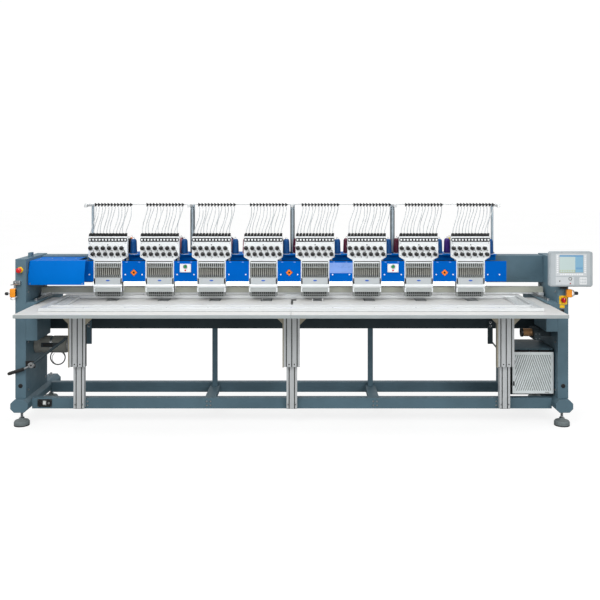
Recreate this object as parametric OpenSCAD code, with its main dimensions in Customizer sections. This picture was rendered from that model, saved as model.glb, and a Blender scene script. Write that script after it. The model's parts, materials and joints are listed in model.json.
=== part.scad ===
// Eight-head, twelve-needle industrial embroidery machine on a welded steel frame.
// X runs along the row of heads, -Y is the operator's side, +Z is up and the floor is z = 0.
// The Y origin is the front plane of the needle cases, which is also the middle of the machine's depth.

/* [Frame] */
// Outer width over the two end columns
frame_w = 4152; // [4144:2:4160]
// Width of one end column
column_w = 80; // [76:1:82]
// Height of the end columns
column_top = 1251; // [1248:1:1258]
// Front face of the end columns
column_front = -169; // [-170:0.5:-168]
// Back face of the end columns
column_rear = 335; // [325:1:345]
// Width of the eight-sided floor beams
floor_beam_w = 130; // [124:2:136]
// Front end of the floor beams
floor_beam_front = -214; // [-230:1:-200]
// Back end of the floor beams
floor_beam_rear = 607; // [590:1:615]
// Wall thickness of the steel sections
wall = 6; // [4:1:8]

/* [Heads] */
// Distance between two heads
head_pitch = 400; // [398:0.5:402]
// Distance between two needles of one head
needle_pitch = 15; // [14.6:0.1:15]
// Number of the needle that stands over the throat plate
active_needle = 8; // [7:1:9]
// Width of the lower body of a needle case
case_w = 220; // [214:1:222]
// Width of the tension box of a needle case
case_box_w = 301; // [298:1:303]
// Height of the top of the tension box
case_top = 1397; // [1394:1:1400]
// Width of the window in front of the take-up levers
window_w = 200; // [196:1:204]
// Diameter of a tension knob
knob_d = 35; // [30:1:37]
// Diameter of a needle bar
needle_bar_d = 6.5; // [6:0.1:7]

/* [Thread stand] */
// Diameter of a thread cone at its foot
cone_d = 54; // [48:1:55]
// Height of a thread cone
cone_h = 128; // [110:1:132]
// Height of the thread rail's top
rail_top = 1662; // [1655:1:1670]
// Diameter of a thread tube
tube_d = 5.5; // [4:0.5:6]

/* [Table] */
// Width of the table over both halves
table_w = 3860; // [3840:2:3862]
// Height of the table's top face
table_top = 910; // [909.5:0.1:910]
// Thickness of the table
table_t = 25; // [22:1:28]
// Front edge of the table
table_front = -626; // [-640:1:-600]
// Back edge of the table
table_rear = 192; // [185:1:195]
// Width of a slot for a bed arm
slot_w = 84; // [76:1:90]

/* [Border frame] */
// Outer width of the border frame
border_w = 3596; // [3580:2:3600]
// Front face of the border frame
border_front = -495; // [-500:1:-480]
// Width of the border frame's bars
border_bar = 40; // [36:1:44]

/* [Hidden] */
head_count = 8;
needle_count = 12;
machine_x = -39;
steel_grey = "#54686F";
dark_grey = "#23292C";
cover_blue = "#0A62D0";
case_white = "#DCDEDC";
bare_metal = "#B9BDC0";
alu = "#C4C7C8";
black = "#161616";
yellow = "#F2C200";
led_white = "#FFFFFF";

column_in = frame_w / 2 - column_w;
floor_beam_x = frame_w / 2 - 43;
floor_beam_bottom = 110;
floor_beam_top = 205;
floor_beam_chamfer = 28;
foot_y = [-149, 550];
spindle_d = 20;
running = 0.1;

case_depth = 78;
box_depth = 40;
case_bottom = 980;
comb_y = [34, 48];
comb_rows = [[944, 955], [961, 975]];
comb_bottom = 941;
comb_corner = 10;
case_shift = (needle_count + 1 - 2 * active_needle) / 2 * needle_pitch;
needle_y = 60;
needle_tip = 938;
guide_z = [1088, 1160];
guide_t = 8;
window_z = [1088, 1218];
take_up_y = 24;
take_up_z = 1100;
case_rail_z = [1024, 1198];
rod_y_pos = 112;
rod_z_pos = 1190;
rod_d = 16;
guide_pitch = 24.7;

cover_y = 2;
cover_z = [1061, 1219];
cover_fold = 30;
start_box_z = [1134, 1198];
start_button_z = 1178;
beam_front = 200;
beam_rear = 340;
beam_bottom = 1030;
beam_top = 1243;
tray_z = 1255;
tray_top = 1262;
shaft_y = 150;
shaft_z = 1120;
shaft_d = 25;
motor_y = 20;
motor_z = 1130;
pulley_r = [44, 24];
pulley_x = [-1850, -1822];

hook_z = 866;
hook_r = 22;
arm_top = 908;
plate_top = 910.4;

leg_x = [-1600, 0, 1600];
leg_y = [-166, -117];
leg_w = 80;
outer_leg_y = [-207, -167];
outer_leg_bottom = 450;
rail_box_x = frame_w / 2 - 142;

tube_top = 1642;
tube_bottom = 1433;
tube_y = 15;
clip_shift = 20;

$fn = 64;

// ---- helpers ----

function arm_x(i) = (i - (head_count - 1) / 2) * head_pitch;
function needle_x(i) = (i - (needle_count - 1) / 2) * needle_pitch;
function gap_x(i) = (arm_x(i) + arm_x(i + 1)) / 2;

// The middle of the bounding box is the origin: the control panel stands out further than
// the light barrier at the other end.
module placed() translate([machine_x, 0, 0]) children();

// A block between two limits on each axis.
module span(x, y, z) translate([x[0], y[0], z[0]]) cube([x[1] - x[0], y[1] - y[0], z[1] - z[0]]);

// A block on one end of the machine: x counts away from the middle.
module side_span(side, x, y, z) {
    low = side > 0 ? x[0] : -x[1];
    high = side > 0 ? x[1] : -x[0];
    span([low, high], y, z);
}

// Outlines drawn as (y, z) and (x, z).
module along_x(x) translate([x[0], 0, 0]) rotate([90, 0, 90]) linear_extrude(x[1] - x[0]) children();
module along_y(y) translate([0, y[1], 0]) rotate([90, 0, 0]) linear_extrude(y[1] - y[0]) children();

module rod_x(x, y, z, d) translate([x[0], y, z]) rotate([0, 90, 0]) cylinder(d = d, h = x[1] - x[0]);
module rod_y(x, y, z, d) translate([x, y[0], z]) rotate([-90, 0, 0]) cylinder(d = d, h = y[1] - y[0]);
module rod_z(x, y, z, d) translate([x, y, z[0]]) cylinder(d = d, h = z[1] - z[0]);

// A rod in the XZ plane from one point to another.
module slanted_rod(from, to, y, d) {
    reach = to - from;
    translate([from[0], y, from[1]])
        rotate([0, atan2(reach[0], reach[1]), 0])
            cylinder(d = d, h = norm(reach));
}

// An arc of round tube in the XZ plane.
module arc_xz(centre, y, r, start, sweep, d)
    translate([centre[0], y, centre[1]])
        rotate([90, 0, 0])
            rotate([0, 0, start])
                rotate_extrude(angle = sweep)
                    translate([r, 0])
                        circle(d = d, $fn = 16);

module rounded(w, h, r) {
    square([w - 2 * r, h], center = true);
    square([w, h - 2 * r], center = true);
    for (x = [-1, 1], y = [-1, 1])
        translate([x * (w / 2 - r), y * (h / 2 - r)])
            circle(r);
}

module octagon(w, z0, z1, c)
    polygon([
        [-w / 2 + c, z0], [w / 2 - c, z0], [w / 2, z0 + c], [w / 2, z1 - c],
        [w / 2 - c, z1], [-w / 2 + c, z1], [-w / 2, z1 - c], [-w / 2, z0 + c]
    ]);

// A square aluminium section with a groove in each long face, drawn round its middle.
module slotted_section(w, h, grooves, groove, depth) {
    difference() {
        square([w, h], center = true);
        for (g = grooves, side = [-1, 1])
            translate([g, side * h / 2])
                square([groove, 2 * depth], center = true);
    }
}

module at_arms() for (i = [0:head_count - 1]) translate([arm_x(i), 0, 0]) children();
module at_cases() for (i = [0:head_count - 1]) translate([arm_x(i) + case_shift, 0, 0]) children();

// ---- steel frame ----

module floor_beams() color(steel_grey) placed()
    for (side = [-1, 1])
        translate([side * floor_beam_x, 0, 0])
            difference() {
                along_y([floor_beam_front, floor_beam_rear])
                    octagon(floor_beam_w, floor_beam_bottom, floor_beam_top, floor_beam_chamfer);
                along_y([floor_beam_front + wall, floor_beam_rear + 1])
                    octagon(floor_beam_w - 2 * wall, floor_beam_bottom + wall, floor_beam_top - wall,
                            floor_beam_chamfer - 2);
                for (y = foot_y)
                    rod_z(0, y, [floor_beam_bottom - 1, floor_beam_bottom + wall + 1],
                          spindle_d + running);
            }

module hollow_beam(x, y, z)
    difference() {
        span(x, y, z);
        span([x[0] - 1, x[1] + 1], [y[0] + 4, y[1] - 4], [z[0] + 4, z[1] - 4]);
    }

module base_crossbars() color(steel_grey) placed() {
    half = floor_beam_x - floor_beam_w / 2;
    hollow_beam([-half, half], [-117, -57], [115, 195]);
    hollow_beam([-half, half], [350, 410], [115, 195]);
    for (x = [-630, 630]) {
        span([x - 40, x + 40], [-57, 350], [135, 175]);
        span([x - 20, x + 20], [300, 340], [175, 643]);
    }
}

module column(side)
    difference() {
        union() {
            side_span(side, [column_in, frame_w / 2], [column_front, column_rear],
                      [floor_beam_top, column_top]);
            // lifting eye
            translate([side * (column_in + 20), 0, 0])
                difference() {
                    span([-12, 12], [-30, 30], [column_top, column_top + 36]);
                    rod_x([-13, 13], 0, column_top + 18, 20);
                }
        }
        side_span(side, [column_in + 5, frame_w / 2 - 5], [column_front + 5, column_rear - 5],
                  [floor_beam_top - 1, column_top - 5]);
        children();
    }

module column_left() color(steel_grey) placed()
    column(-1)
        rod_y(-frame_w / 2 + 38, [column_front - 1, column_front + 6], 1170, 14);

module column_right() color(steel_grey) placed()
    column(1)
        rod_y(frame_w / 2 - 40, [column_front - 1, column_front + 6], 946, 10);

module bed_beam() color(dark_grey) placed() {
    hollow_beam([-column_in, column_in], [300, 400], [643, 788]);
    // hanging plates for the cable duct, with their stays
    for (x = [-1644, 1597]) {
        span([x - 20, x + 20], [288, 300], [520, 710]);
        slanted_rod([x + 10 * sign(x), 540], [x + 75 * sign(x), 460], 294, 12);
    }
}

module bed_arms() color(bare_metal) placed()
    at_arms()
        difference() {
            union() {
                span([-35, 35], [12, 400], [800, arm_top]);
                span([-35, 35], [300, 400], [788, 800]);
                span([-33, 33], [14, 100], [arm_top, plate_top]);
            }
            span([-27, 27], [11, 92], [838, 900]);
            rod_y(0, [91, 152], hook_z, 10 + running);
            rod_z(0, needle_y, [899, arm_top + 0.5], 8);
            rod_z(0, needle_y, [arm_top, plate_top + 1], 3.4);
        }

module side_boxes() color(steel_grey) placed()
    for (side = [-1, 1]) {
        // lower drive box, kept below the lowered table
        side_span(side, [frame_w / 2 - 166, column_in], [column_front, 145],
                  [side > 0 ? 706 : 639, 806]);
        // guide box with its cover plate and linear rail
        side_span(side, [rail_box_x, column_in], [column_front, 560], [812, 916]);
        side_span(side, [frame_w / 2 - 160, column_in], [column_front, 560], [916, 924]);
        side_span(side, [rail_box_x + 14, rail_box_x + 34], [-60, 560], [924, 938]);
    }

module upper_beam() color(steel_grey) placed()
    hollow_beam([-column_in, column_in], [beam_front, beam_rear], [beam_bottom, beam_top]);

// ---- sewing heads ----

module head_arms() color(dark_grey) placed()
    at_arms() {
        difference() {
            along_x([-30, 30])
                polygon([[89, 1008], [160, 1008], [beam_front, 1040], [beam_front, 1211], [89, 1211]]);
            rod_x([-31, 31], shaft_y, shaft_z, shaft_d + running);
            rod_x([-31, 31], rod_y_pos, rod_z_pos, rod_d + 4);
        }
        // guide blocks round the needle case's rails
        for (z = case_rail_z)
            difference() {
                span([-27, 27], [79, 89], [z - 14, z + 14]);
                span([-28, 28], [78, 85.5], [z - 8.5, z + 8.5]);
            }
    }

// Front view of a needle case up to a given height.
module case_outline(top)
    intersection() {
        polygon([
            [-case_w / 2, case_bottom], [case_w / 2, case_bottom], [case_w / 2, 1227],
            [case_box_w / 2, 1250], [case_box_w / 2, case_top], [-case_box_w / 2, case_top],
            [-case_box_w / 2, 1250], [-case_w / 2, 1227]
        ]);
        translate([-case_box_w / 2, case_bottom]) square([case_box_w, top - case_bottom]);
    }

module needle_cases() color(case_white) placed()
    at_cases() {
        difference() {
            union() {
                along_y([0, case_depth]) case_outline(1227);
                along_y([0, box_depth]) case_outline(case_top);
                rod_x([-case_w / 2, case_w / 2], 8, 1026, 32);
                span([-case_box_w / 2 + 1, case_box_w / 2 - 1], [4, box_depth - 4], [case_top, case_top + 12]);
            }
            span([-window_w / 2, window_w / 2], [-1, 71], window_z);
            span([-window_w / 2 + 4, window_w / 2 - 4], [48, 71], [case_bottom - 1, window_z[0] + 1]);
        }
        // plates that guide the needle bars
        for (z = guide_z)
            difference() {
                span([-window_w / 2, window_w / 2], [50, 71], [z, z + guide_t]);
                for (i = [0:needle_count - 1])
                    rod_z(needle_x(i), needle_y, [z - 1, z + guide_t + 1], needle_bar_d + running);
            }
        // comb below the front wall that parts the twelve threads
        difference() {
            along_y(comb_y)
                polygon([
                    [-case_w / 2 + 1, case_bottom + 2], [-case_w / 2 + 1, comb_bottom + comb_corner],
                    [-case_w / 2 + 1 + comb_corner, comb_bottom], [case_w / 2 - 1 - comb_corner, comb_bottom],
                    [case_w / 2 - 1, comb_bottom + comb_corner], [case_w / 2 - 1, case_bottom + 2]
                ]);
            for (i = [0:needle_count - 1], row = comb_rows)
                span([needle_x(i) - 5, needle_x(i) + 5], [comb_y[0] - 1, comb_y[0] + 8], row);
        }
        // rails on the back
        for (z = case_rail_z)
            span([-105, 105], [case_depth, 84.5], [z - 8, z + 8]);
        // bracket down to the colour change rod
        difference() {
            union() {
                span([120, 136], [box_depth, 123], [1242, 1253]);
                span([120, 136], [101, 123], [1176, 1242]);
            }
            rod_x([119, 137], rod_y_pos, rod_z_pos, rod_d + running);
        }
    }

module colour_change_rod() color(bare_metal) placed()
    rod_x([arm_x(0) + 60, arm_x(head_count - 1) + 150], rod_y_pos, rod_z_pos, rod_d);

// Tension knobs, sensor wheels and the guides at the top of each needle case.
module tension_knob()
    rotate([90, 0, 0])
        rotate_extrude()
            polygon([[0, 0], [6, 0], [6, 5], [knob_d / 2, 7], [knob_d / 2 - 2, 20], [11, 28], [0, 28]]);

module tension_knobs() color(black) placed()
    at_cases() {
        for (row = [0, 1], i = [0:5])
            translate([(i - 2.5) * 48 - 12 + row * 18, 0, 1320 - row * 46])
                tension_knob();
        for (i = [0:needle_count - 1]) {
            x = (i - (needle_count - 1) / 2) * guide_pitch;
            rod_y(x, [-8, 0], 1383, 22);
            translate([x, tube_y, case_top + 12])
                difference() {
                    cylinder(d1 = 22, d2 = 18, h = 23.5);
                    translate([0, 0, -1])
                        cylinder(d = 4, h = 30);
                }
        }
    }

module needle_bar()
    rotate_extrude()
        polygon([
            [0, needle_tip], [1.1, needle_tip + 6], [1.1, 986], [5, 986], [5, 1000],
            [needle_bar_d / 2, 1000], [needle_bar_d / 2, 1216], [0, 1216]
        ]);

// A presser foot hangs on its own rod behind the needle.
module presser_foot()
    difference() {
        union() {
            rod_z(0, needle_y, [945, 948], 14);
            span([-3, 3], [needle_y, 70], [945, 948]);
            rod_z(0, 68.4, [946, 1080], 4);
        }
        rod_z(0, needle_y, [944, 949], 4);
    }

module needle_bars() color(bare_metal) placed()
    at_cases()
        for (i = [0:needle_count - 1])
            if (i != active_needle - 1) {
                translate([needle_x(i), needle_y, 0]) needle_bar();
                translate([needle_x(i), 0, 0]) presser_foot();
            }

module active_needle_bars() color(bare_metal) placed()
    at_arms()
        translate([0, needle_y, 0]) needle_bar();

module presser_feet() color(bare_metal) placed()
    at_arms()
        presser_foot();

// Take-up lever, drawn as (y, z) round its pivot.
module take_up_lever(bore)
    along_x([-1.5, 1.5])
        translate([take_up_y, take_up_z])
            difference() {
                union() {
                    circle(7);
                    polygon([[-6, 0], [5, 0], [-4, 58], [-9, 92], [-17, 92], [-13, 56]]);
                    translate([-13, 93]) circle(5);
                }
                circle(d = bore);
                translate([-13, 93]) circle(2);
            }

module take_up_levers() color(bare_metal) placed()
    at_cases() {
        for (i = [0:needle_count - 1])
            if (i != active_needle - 1)
                translate([needle_x(i), 0, 0]) take_up_lever(6);
        rod_x([-window_w / 2, window_w / 2], take_up_y, take_up_z, 6);
    }

module active_take_ups() color(bare_metal) placed()
    at_arms()
        take_up_lever(6 + running);

// ---- covers and lights ----

// Sheet between two needle cases, folded back along its top and bottom. It slides with the cases.
module cover_plate(x, screws) {
    along_x(x)
        difference() {
            translate([cover_y, cover_z[0]]) square([cover_fold, cover_z[1] - cover_z[0]]);
            translate([cover_y + 3, cover_z[0] + 3]) square([cover_fold, cover_z[1] - cover_z[0] - 6]);
        }
    for (s = screws)
        rod_y(s, [cover_y - 3, cover_y + 0.5], 1115, 10);
}

module front_covers() color(cover_blue) placed() {
    edge = case_w / 2;
    for (i = [0:head_count - 2]) {
        middle = gap_x(i) + case_shift;
        cover_plate([arm_x(i) + case_shift + edge, arm_x(i + 1) + case_shift - edge], [middle - 65, middle + 65]);
    }
    cover_plate([-1643, arm_x(0) + case_shift - edge], [-1565]);
    cover_plate([arm_x(head_count - 1) + case_shift + edge, 1654], [1510, 1600]);
    // start boxes
    for (i = [1, 5])
        translate([gap_x(i) + case_shift, 0, 0])
            difference() {
                span([-42, 42], [cover_y - 14, cover_y + 0.5], start_box_z);
                rod_y(0, [cover_y - 15, cover_y - 1], start_button_z, 22 + running);
            }
}

module drive_cover_profile(back)
    polygon([
        [-137, 1053], [-134, 1053], [-134, 1127], [-101.5, 1229], [back, 1229], [back, 1232],
        [-104, 1232], [-137, 1128]
    ]);

module drive_cover() color(cover_blue) placed() {
    along_x([-1990, -1640]) drive_cover_profile(198);
    along_x([-1640, -1566]) drive_cover_profile(-20);
}

module led_strip(x) span(x, [92, 112], [1014, 1056]);

module led_strips() color(led_white) placed() {
    for (i = [0:head_count - 2])
        led_strip([arm_x(i) + 32, arm_x(i + 1) - 32]);
    led_strip([-1563, arm_x(0) - 32]);
    led_strip([arm_x(head_count - 1) + 32, 1520]);
}

// ---- thread stand ----

// Twelve cones stand behind each head in three rows of four.
cone_rows = [[117, [-87, -7, 73, 153]], [192, [-170, -80, 10, 100]], [283, [-137, -57, 23, 103]]];

module at_cones()
    at_arms()
        for (row = cone_rows, x = row[1])
            translate([x, row[0], tray_top]) children();

module thread_tray() color(cover_blue) placed() {
    span([-1600, 1600], [86, 345], [tray_z, tray_top]);
    // apron along the front of the beam
    span([-1600, 1600], [124, 127], [1213, tray_z + 1]);
    for (x = [-1600 : 400 : 1600])
        span([x - 20 * (x < 1600 ? 0 : 2), x + 20 * (x < 1600 ? 2 : 0)], [210, 330], [beam_top, tray_z]);
}

module spool_pins() color(case_white) placed()
    at_cones() {
        cylinder(d = cone_d + 6, h = 3);
        cylinder(d = 8, h = cone_h + 8, $fn = 16);
    }

module thread_cones() color("#1B58B8") placed()
    at_cones()
        translate([0, 0, 3.5])
            rotate_extrude($fn = 32)
                polygon([
                    [5, 0], [cone_d / 2 - 3, 0], [cone_d / 2, 6], [cone_d / 2 - 4, cone_h - 22],
                    [cone_d / 2 - 9, cone_h - 10], [9, cone_h - 9], [9, cone_h], [5, cone_h]
                ]);

post_x = [-1600, -800, 0, 800, 1600];

module rail_frame() color(alu) placed() {
    for (x = post_x) {
        half = abs(x) > 1500 ? 8 : 18;
        span([x - half, x + half], [224, 260], [tray_top, rail_top - 10]);
        span([x - 6, x + 6], [22, 224], [rail_top - 26, rail_top - 10]);
    }
    span([-1608, 1612], [22, 42], [rail_top - 10, rail_top]);
}

module at_clips()
    for (h = [0:head_count - 1], i = [0:needle_count - 1])
        translate([arm_x(h) + clip_shift + (i - (needle_count - 1) / 2) * guide_pitch, 0, 0])
            children();

module thread_clips() color(black) placed()
    at_clips()
        along_y([8, 22])
            polygon([[-10, 1638], [11, 1652], [11, 1656], [-10, 1668], [-10, 1658], [-3, 1653], [-10, 1648]]);

// Each tube swings from its clip to its needle case in one soft S, drawn as level rings.
tube_rings = 7;
tube_sides = 8;

function tube_ring(k, sideways, drop) =
    let (t = k / (tube_rings - 1), x = -sideways * (1 - cos(180 * t)) / 2, z = tube_top - drop * t)
    [for (a = [0:tube_sides - 1])
        [x + tube_d / 2 * cos(360 * a / tube_sides), tube_y + tube_d / 2 * sin(360 * a / tube_sides), z]];

function tube_faces() = [
    [for (a = [0:tube_sides - 1]) a],
    [for (a = [tube_sides - 1:-1:0]) (tube_rings - 1) * tube_sides + a],
    for (k = [0:tube_rings - 2], a = [0:tube_sides - 1])
        [k * tube_sides + a, (k + 1) * tube_sides + a,
         (k + 1) * tube_sides + (a + 1) % tube_sides, k * tube_sides + (a + 1) % tube_sides]
];

module thread_tubes() color("#DADDDD") placed() {
    sideways = clip_shift - case_shift;
    drop = tube_top - tube_bottom;
    at_clips()
        polyhedron(
            points = [for (k = [0:tube_rings - 1]) each tube_ring(k, sideways, drop)],
            faces = tube_faces());
}

// ---- drive ----

module drive_motors() color(bare_metal) placed() {
    // main motor with its shaft
    rod_x([-1975, -1868], motor_y, motor_z, 110);
    rod_x([-1868, -1816], motor_y, motor_z, 14);
    // mounting plate to the column
    span([-column_in, -1975], [-30, 190], [1080, 1190]);
    // pantograph motor at the left
    rod_x([-column_in, -1747], 60, 567, 131);
    rod_x([-1747, -1742], 60, 567, 96);
    arc_xz([-1826, 464], 60, 57, -230, 300, 9);
    // pantograph motor at the right
    span([1858, 1908], [-40, 110], [616, 700]);
    rod_x([1772, 1858], 30, 664, 62);
    span([1908, column_in], [0, 100], [640, 690]);
}

// Flat belt round both pulleys: two arcs joined by the pulleys' common tangents.
function arc_points(centre, r, from, to, steps) =
    [for (k = [0:steps]) let (t = from + (to - from) * k / steps) centre + r * [cos(t), sin(t)]];

function belt_loop(gap) =
    let (a = [shaft_y, shaft_z], b = [motor_y, motor_z], reach = b - a,
         turn = atan2(reach[1], reach[0]),
         open = acos((pulley_r[0] - pulley_r[1]) / norm(reach)))
    concat(arc_points(a, pulley_r[0] + gap, turn + open, turn + 360 - open, 24),
           arc_points(b, pulley_r[1] + gap, turn - open, turn + open, 16));

module drive_belt() color(black) placed()
    along_x([pulley_x[0] + 3, pulley_x[1] - 3])
        difference() {
            polygon(belt_loop(3.4));
            polygon(belt_loop(0.4));
        }

module pulley(y, z, r, bore)
    difference() {
        rod_x(pulley_x, y, z, 2 * r);
        rod_x([pulley_x[0] - 1, pulley_x[1] + 1], y, z, bore);
        for (a = [0:60:300])
            rod_x([pulley_x[0] - 1, pulley_x[1] + 1], y + r * 0.66 * cos(a), z + r * 0.66 * sin(a), r * 0.3);
    }

module main_shaft() color(bare_metal) placed() {
    rod_x([-1870, arm_x(head_count - 1) + 80], shaft_y, shaft_z, shaft_d);
    pulley(shaft_y, shaft_z, pulley_r[0], shaft_d);
    // one needle-bar crank per head
    at_arms()
        rod_x([34, 46], shaft_y + 6, shaft_z, 44);
}

module motor_pulley() color(bare_metal) placed()
    pulley(motor_y, motor_z, pulley_r[1], 14 + running);

module rotary_hook(i)
    translate([arm_x(i - 1), 0, hook_z]) {
        difference() {
            rod_y(0, [46, 74], 0, 2 * hook_r);
            rod_y(0, [45, 66], 0, 2 * hook_r - 8);
            // gap behind the hook's point
            span([4, hook_r + 1], [45, 58], [8, hook_r + 1]);
        }
        // bobbin case
        rod_y(0, [50, 66], 0, 26);
        rod_y(0, [74, 150], 0, 10);
    }

module rotary_hook_1() color(bare_metal) placed() rotary_hook(1);
module rotary_hook_2() color(bare_metal) placed() rotary_hook(2);
module rotary_hook_3() color(bare_metal) placed() rotary_hook(3);
module rotary_hook_4() color(bare_metal) placed() rotary_hook(4);
module rotary_hook_5() color(bare_metal) placed() rotary_hook(5);
module rotary_hook_6() color(bare_metal) placed() rotary_hook(6);
module rotary_hook_7() color(bare_metal) placed() rotary_hook(7);
module rotary_hook_8() color(bare_metal) placed() rotary_hook(8);

// ---- pantograph ----

module x_beam() color(alu) placed() {
    translate([-1976, 160, 980.5])
        rotate([90, 0, 90])
            linear_extrude(3952)
                slotted_section(60, 43, [0], 10, 6);
    for (side = [-1, 1])
        side_span(side, [1938, 1976], [110, 210], [938.5, 959]);
    span([-1900, 1900], [152, 168], [944, 959]);
}

module border_frame() color(alu) placed() {
    half = border_w / 2;
    difference() {
        span([-half, half], [border_front, 200], [912, 936]);
        span([-half + border_bar, half - border_bar], [border_front + border_bar, 120], [911, 937]);
    }
    // inner bar in front of the sewing field
    span([-half + border_bar, half - border_bar], [-320, -296], [912, 930]);
    // perforated clamping bars between the frame's sides and the cloth
    for (side = [-1, 1])
        difference() {
            side_span(side, [1668, 1745], [-295.5, 119.5], [912, 928]);
            for (row = [1690, 1723], k = [0:12])
                rod_z(side * row, -276 + k * 31, [920, 929], 13);
        }
    // carriages that run on the beam's rail
    for (x = [-1400, 0, 1400])
        span([x - 60, x + 60], [140, 180], [936, 943.5]);
}

// ---- table ----

module table_half(side)
    difference() {
        side_span(side, [1, table_w / 2], [table_front, table_rear], [table_top - table_t, table_top]);
        at_arms()
            span([-slot_w / 2, slot_w / 2], [2, table_rear + 1], [table_top - table_t - 1, table_top + 1]);
        // pocket for the latch across the seam
        span([-9, 9], [-242, 98], [table_top - 7, table_top + 1]);
        span([-9, 33], [28, 98], [table_top - 7, table_top + 1]);
    }

module table_left() color("#E8E8E6") placed() table_half(-1);
module table_right() color("#E8E8E6") placed() table_half(1);

gusset = 123;

module outer_legs() color(alu) placed()
    for (x = leg_x) {
        translate([x, (outer_leg_y[0] + outer_leg_y[1]) / 2, outer_leg_bottom])
            linear_extrude(table_top - table_t - outer_leg_bottom)
                slotted_section(120, outer_leg_y[1] - outer_leg_y[0], [-40, 0, 40], 8, 5);
        // keys that run in the inner leg's grooves
        for (g = [-20, 20])
            span([x + g - 3.5, x + g + 3.5], [outer_leg_y[1] - 0.5, leg_y[0] + 2.5], [outer_leg_bottom, 640]);
        // gussets under the table
        for (side = [-1, 1])
            translate([x, 0, 0])
                along_y([-205, -170])
                    polygon([[side * 59, 885 - gusset], [side * 59, 885], [side * (59 + gusset), 885]]);
    }

module inner_legs() color(alu) placed()
    for (x = leg_x)
        translate([x, (leg_y[0] + leg_y[1]) / 2, 127])
            linear_extrude(620)
                slotted_section(leg_w, leg_y[1] - leg_y[0], [-20, 20], 8, 5);

module table_latch() color(black) placed() {
    span([-7, 7], [-200, 95], [table_top - 6.5, table_top + 0.8]);
    span([7, 31], [70, 95], [table_top - 6.5, table_top + 0.8]);
}

// ---- cabinets and controls ----

module control_cabinet() color(dark_grey) placed() {
    difference() {
        span([1640, 1985], [-93, 280], [215, 560]);
        span([1644, 1981], [-94, 276], [219, 556]);
    }
    // servo drives behind the door
    for (k = [0:3])
        span([1656 + k * 80, 1724 + k * 80], [-70, 277], [230, 545]);
    // power inlet on the front crossbar
    span([-1923, -1816], [-127, -117], [131, 187]);
}

module cabinet_door() color("#CFD2D2") placed()
    difference() {
        span([1672, 1985], [-108, -94], [225, 540]);
        span([1684, 1973], [-109, -104], [237, 528]);
    }

module operator_boxes() color(yellow) placed() {
    // ring of the emergency stop
    difference() {
        rod_y(-frame_w / 2 + 38, [column_front - 12, column_front], 1170, 46);
        rod_y(-frame_w / 2 + 38, [column_front - 13, column_front + 1], 1170, 12 + running);
    }
    // plate and tag of the main switch
    difference() {
        span([frame_w / 2 - 70, frame_w / 2 - 10], [column_front - 6, column_front], [910, 978]);
        rod_y(frame_w / 2 - 40, [column_front - 7, column_front + 1], 946, 8 + running);
    }
    span([frame_w / 2 - 62, frame_w / 2 - 26], [column_front - 5, column_front], [884, 906]);
}

module start_button(i) rod_y(gap_x(i) + case_shift, [cover_y - 16, cover_y - 6], start_button_z, 22);
module start_button_left() color("green") placed() start_button(1);
module start_button_right() color("green") placed() start_button(5);

module emergency_stop() color("red") placed()
    translate([-frame_w / 2 + 38, column_front, 1170])
        rotate([90, 0, 0])
            rotate_extrude()
                polygon([[0, -18], [6, -18], [6, 26], [17, 28], [20, 34], [20, 39], [16, 45], [0, 47]]);

module main_switch() color("red") placed()
    translate([frame_w / 2 - 40, column_front, 946]) {
        rod_y(0, [-18, 4], 0, 8);
        rod_y(0, [-18, -8], 0, 40);
        span([-7, 7], [-34, -18], [-19, 19]);
    }

module light_barriers() color("#F08A1C") placed() {
    // left: clamp, rod, sensor and its knob
    span([-2082, -2030], [-199, column_front], [1060, 1092]);
    rod_z(-2074, -190, [1034, 1061], 10);
    span([-2102, -2060], [-214, -184], [970, 1035]);
    rod_x([-2118, -2101], -199, 996, 8);
    rod_x([-2140, -2118], -199, 996, 24);
    // right: sensor on a bow from the column's side
    span([2050, 2090], [-215, -187], [970, 1030]);
    span([frame_w / 2, frame_w / 2 + 12], [-187, -140], [985, 1015]);
    arc_xz([2086, 1000], -201, 24, -90, 180, 10);
    rod_x([2112, 2136], -201, 1000, 26);
}

module pivot_brackets() color(black) placed() {
    // carries the control panel
    span([frame_w / 2 - 60, frame_w / 2 - 20], [-196, column_front], [1031, 1044]);
    rod_z(frame_w / 2 - 40, -183, [1043, 1100], 12);
    // carries the hand lever
    difference() {
        span([-column_in, -1926], [-176, -160], [436, 486]);
        rod_y(-1946, [-177, -159], 461, 12);
    }
    rod_y(-1946, [-206, -160], 461, 12);
}

module control_panel() color("#C9CCCE") placed() {
    translate([2070, 0, 1185])
        along_y([-250, -204])
            rounded(322, 262, 16);
    difference() {
        union() {
            rod_z(frame_w / 2 - 40, -183, [1054, 1112], 23);
            span([frame_w / 2 - 50, frame_w / 2 - 30], [-205, -190], [1054, 1112]);
        }
        rod_z(frame_w / 2 - 40, -183, [1044, 1104], 12 + running);
    }
}

module handle_bar() color(black) placed()
    difference() {
        union() {
            slanted_rod([-2122, 394], [-2000, 433], -191, 28);
            slanted_rod([-2002, 432], [-1946, 461], -191, 16);
            slanted_rod([-1946, 461], [-1684, 664], -191, 20);
            rod_y(-1946, [-205, -178], 461, 44);
        }
        rod_y(-1946, [-207, -177], 461, 12 + running);
    }

// ---- levelling feet ----

module levelling_foot(side, y)
    translate([side * floor_beam_x, y, 0])
        rotate_extrude()
            polygon([
                [0, 0], [57.5, 0], [57.5, 28], [50, 40], [22, 48], [22, 60],
                [spindle_d / 2, 60], [spindle_d / 2, 170], [0, 170]
            ]);

module foot_front_left() color(bare_metal) placed() levelling_foot(-1, foot_y[0]);
module foot_front_right() color(bare_metal) placed() levelling_foot(1, foot_y[0]);
module foot_rear_left() color(bare_metal) placed() levelling_foot(-1, foot_y[1]);
module foot_rear_right() color(bare_metal) placed() levelling_foot(1, foot_y[1]);

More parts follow.
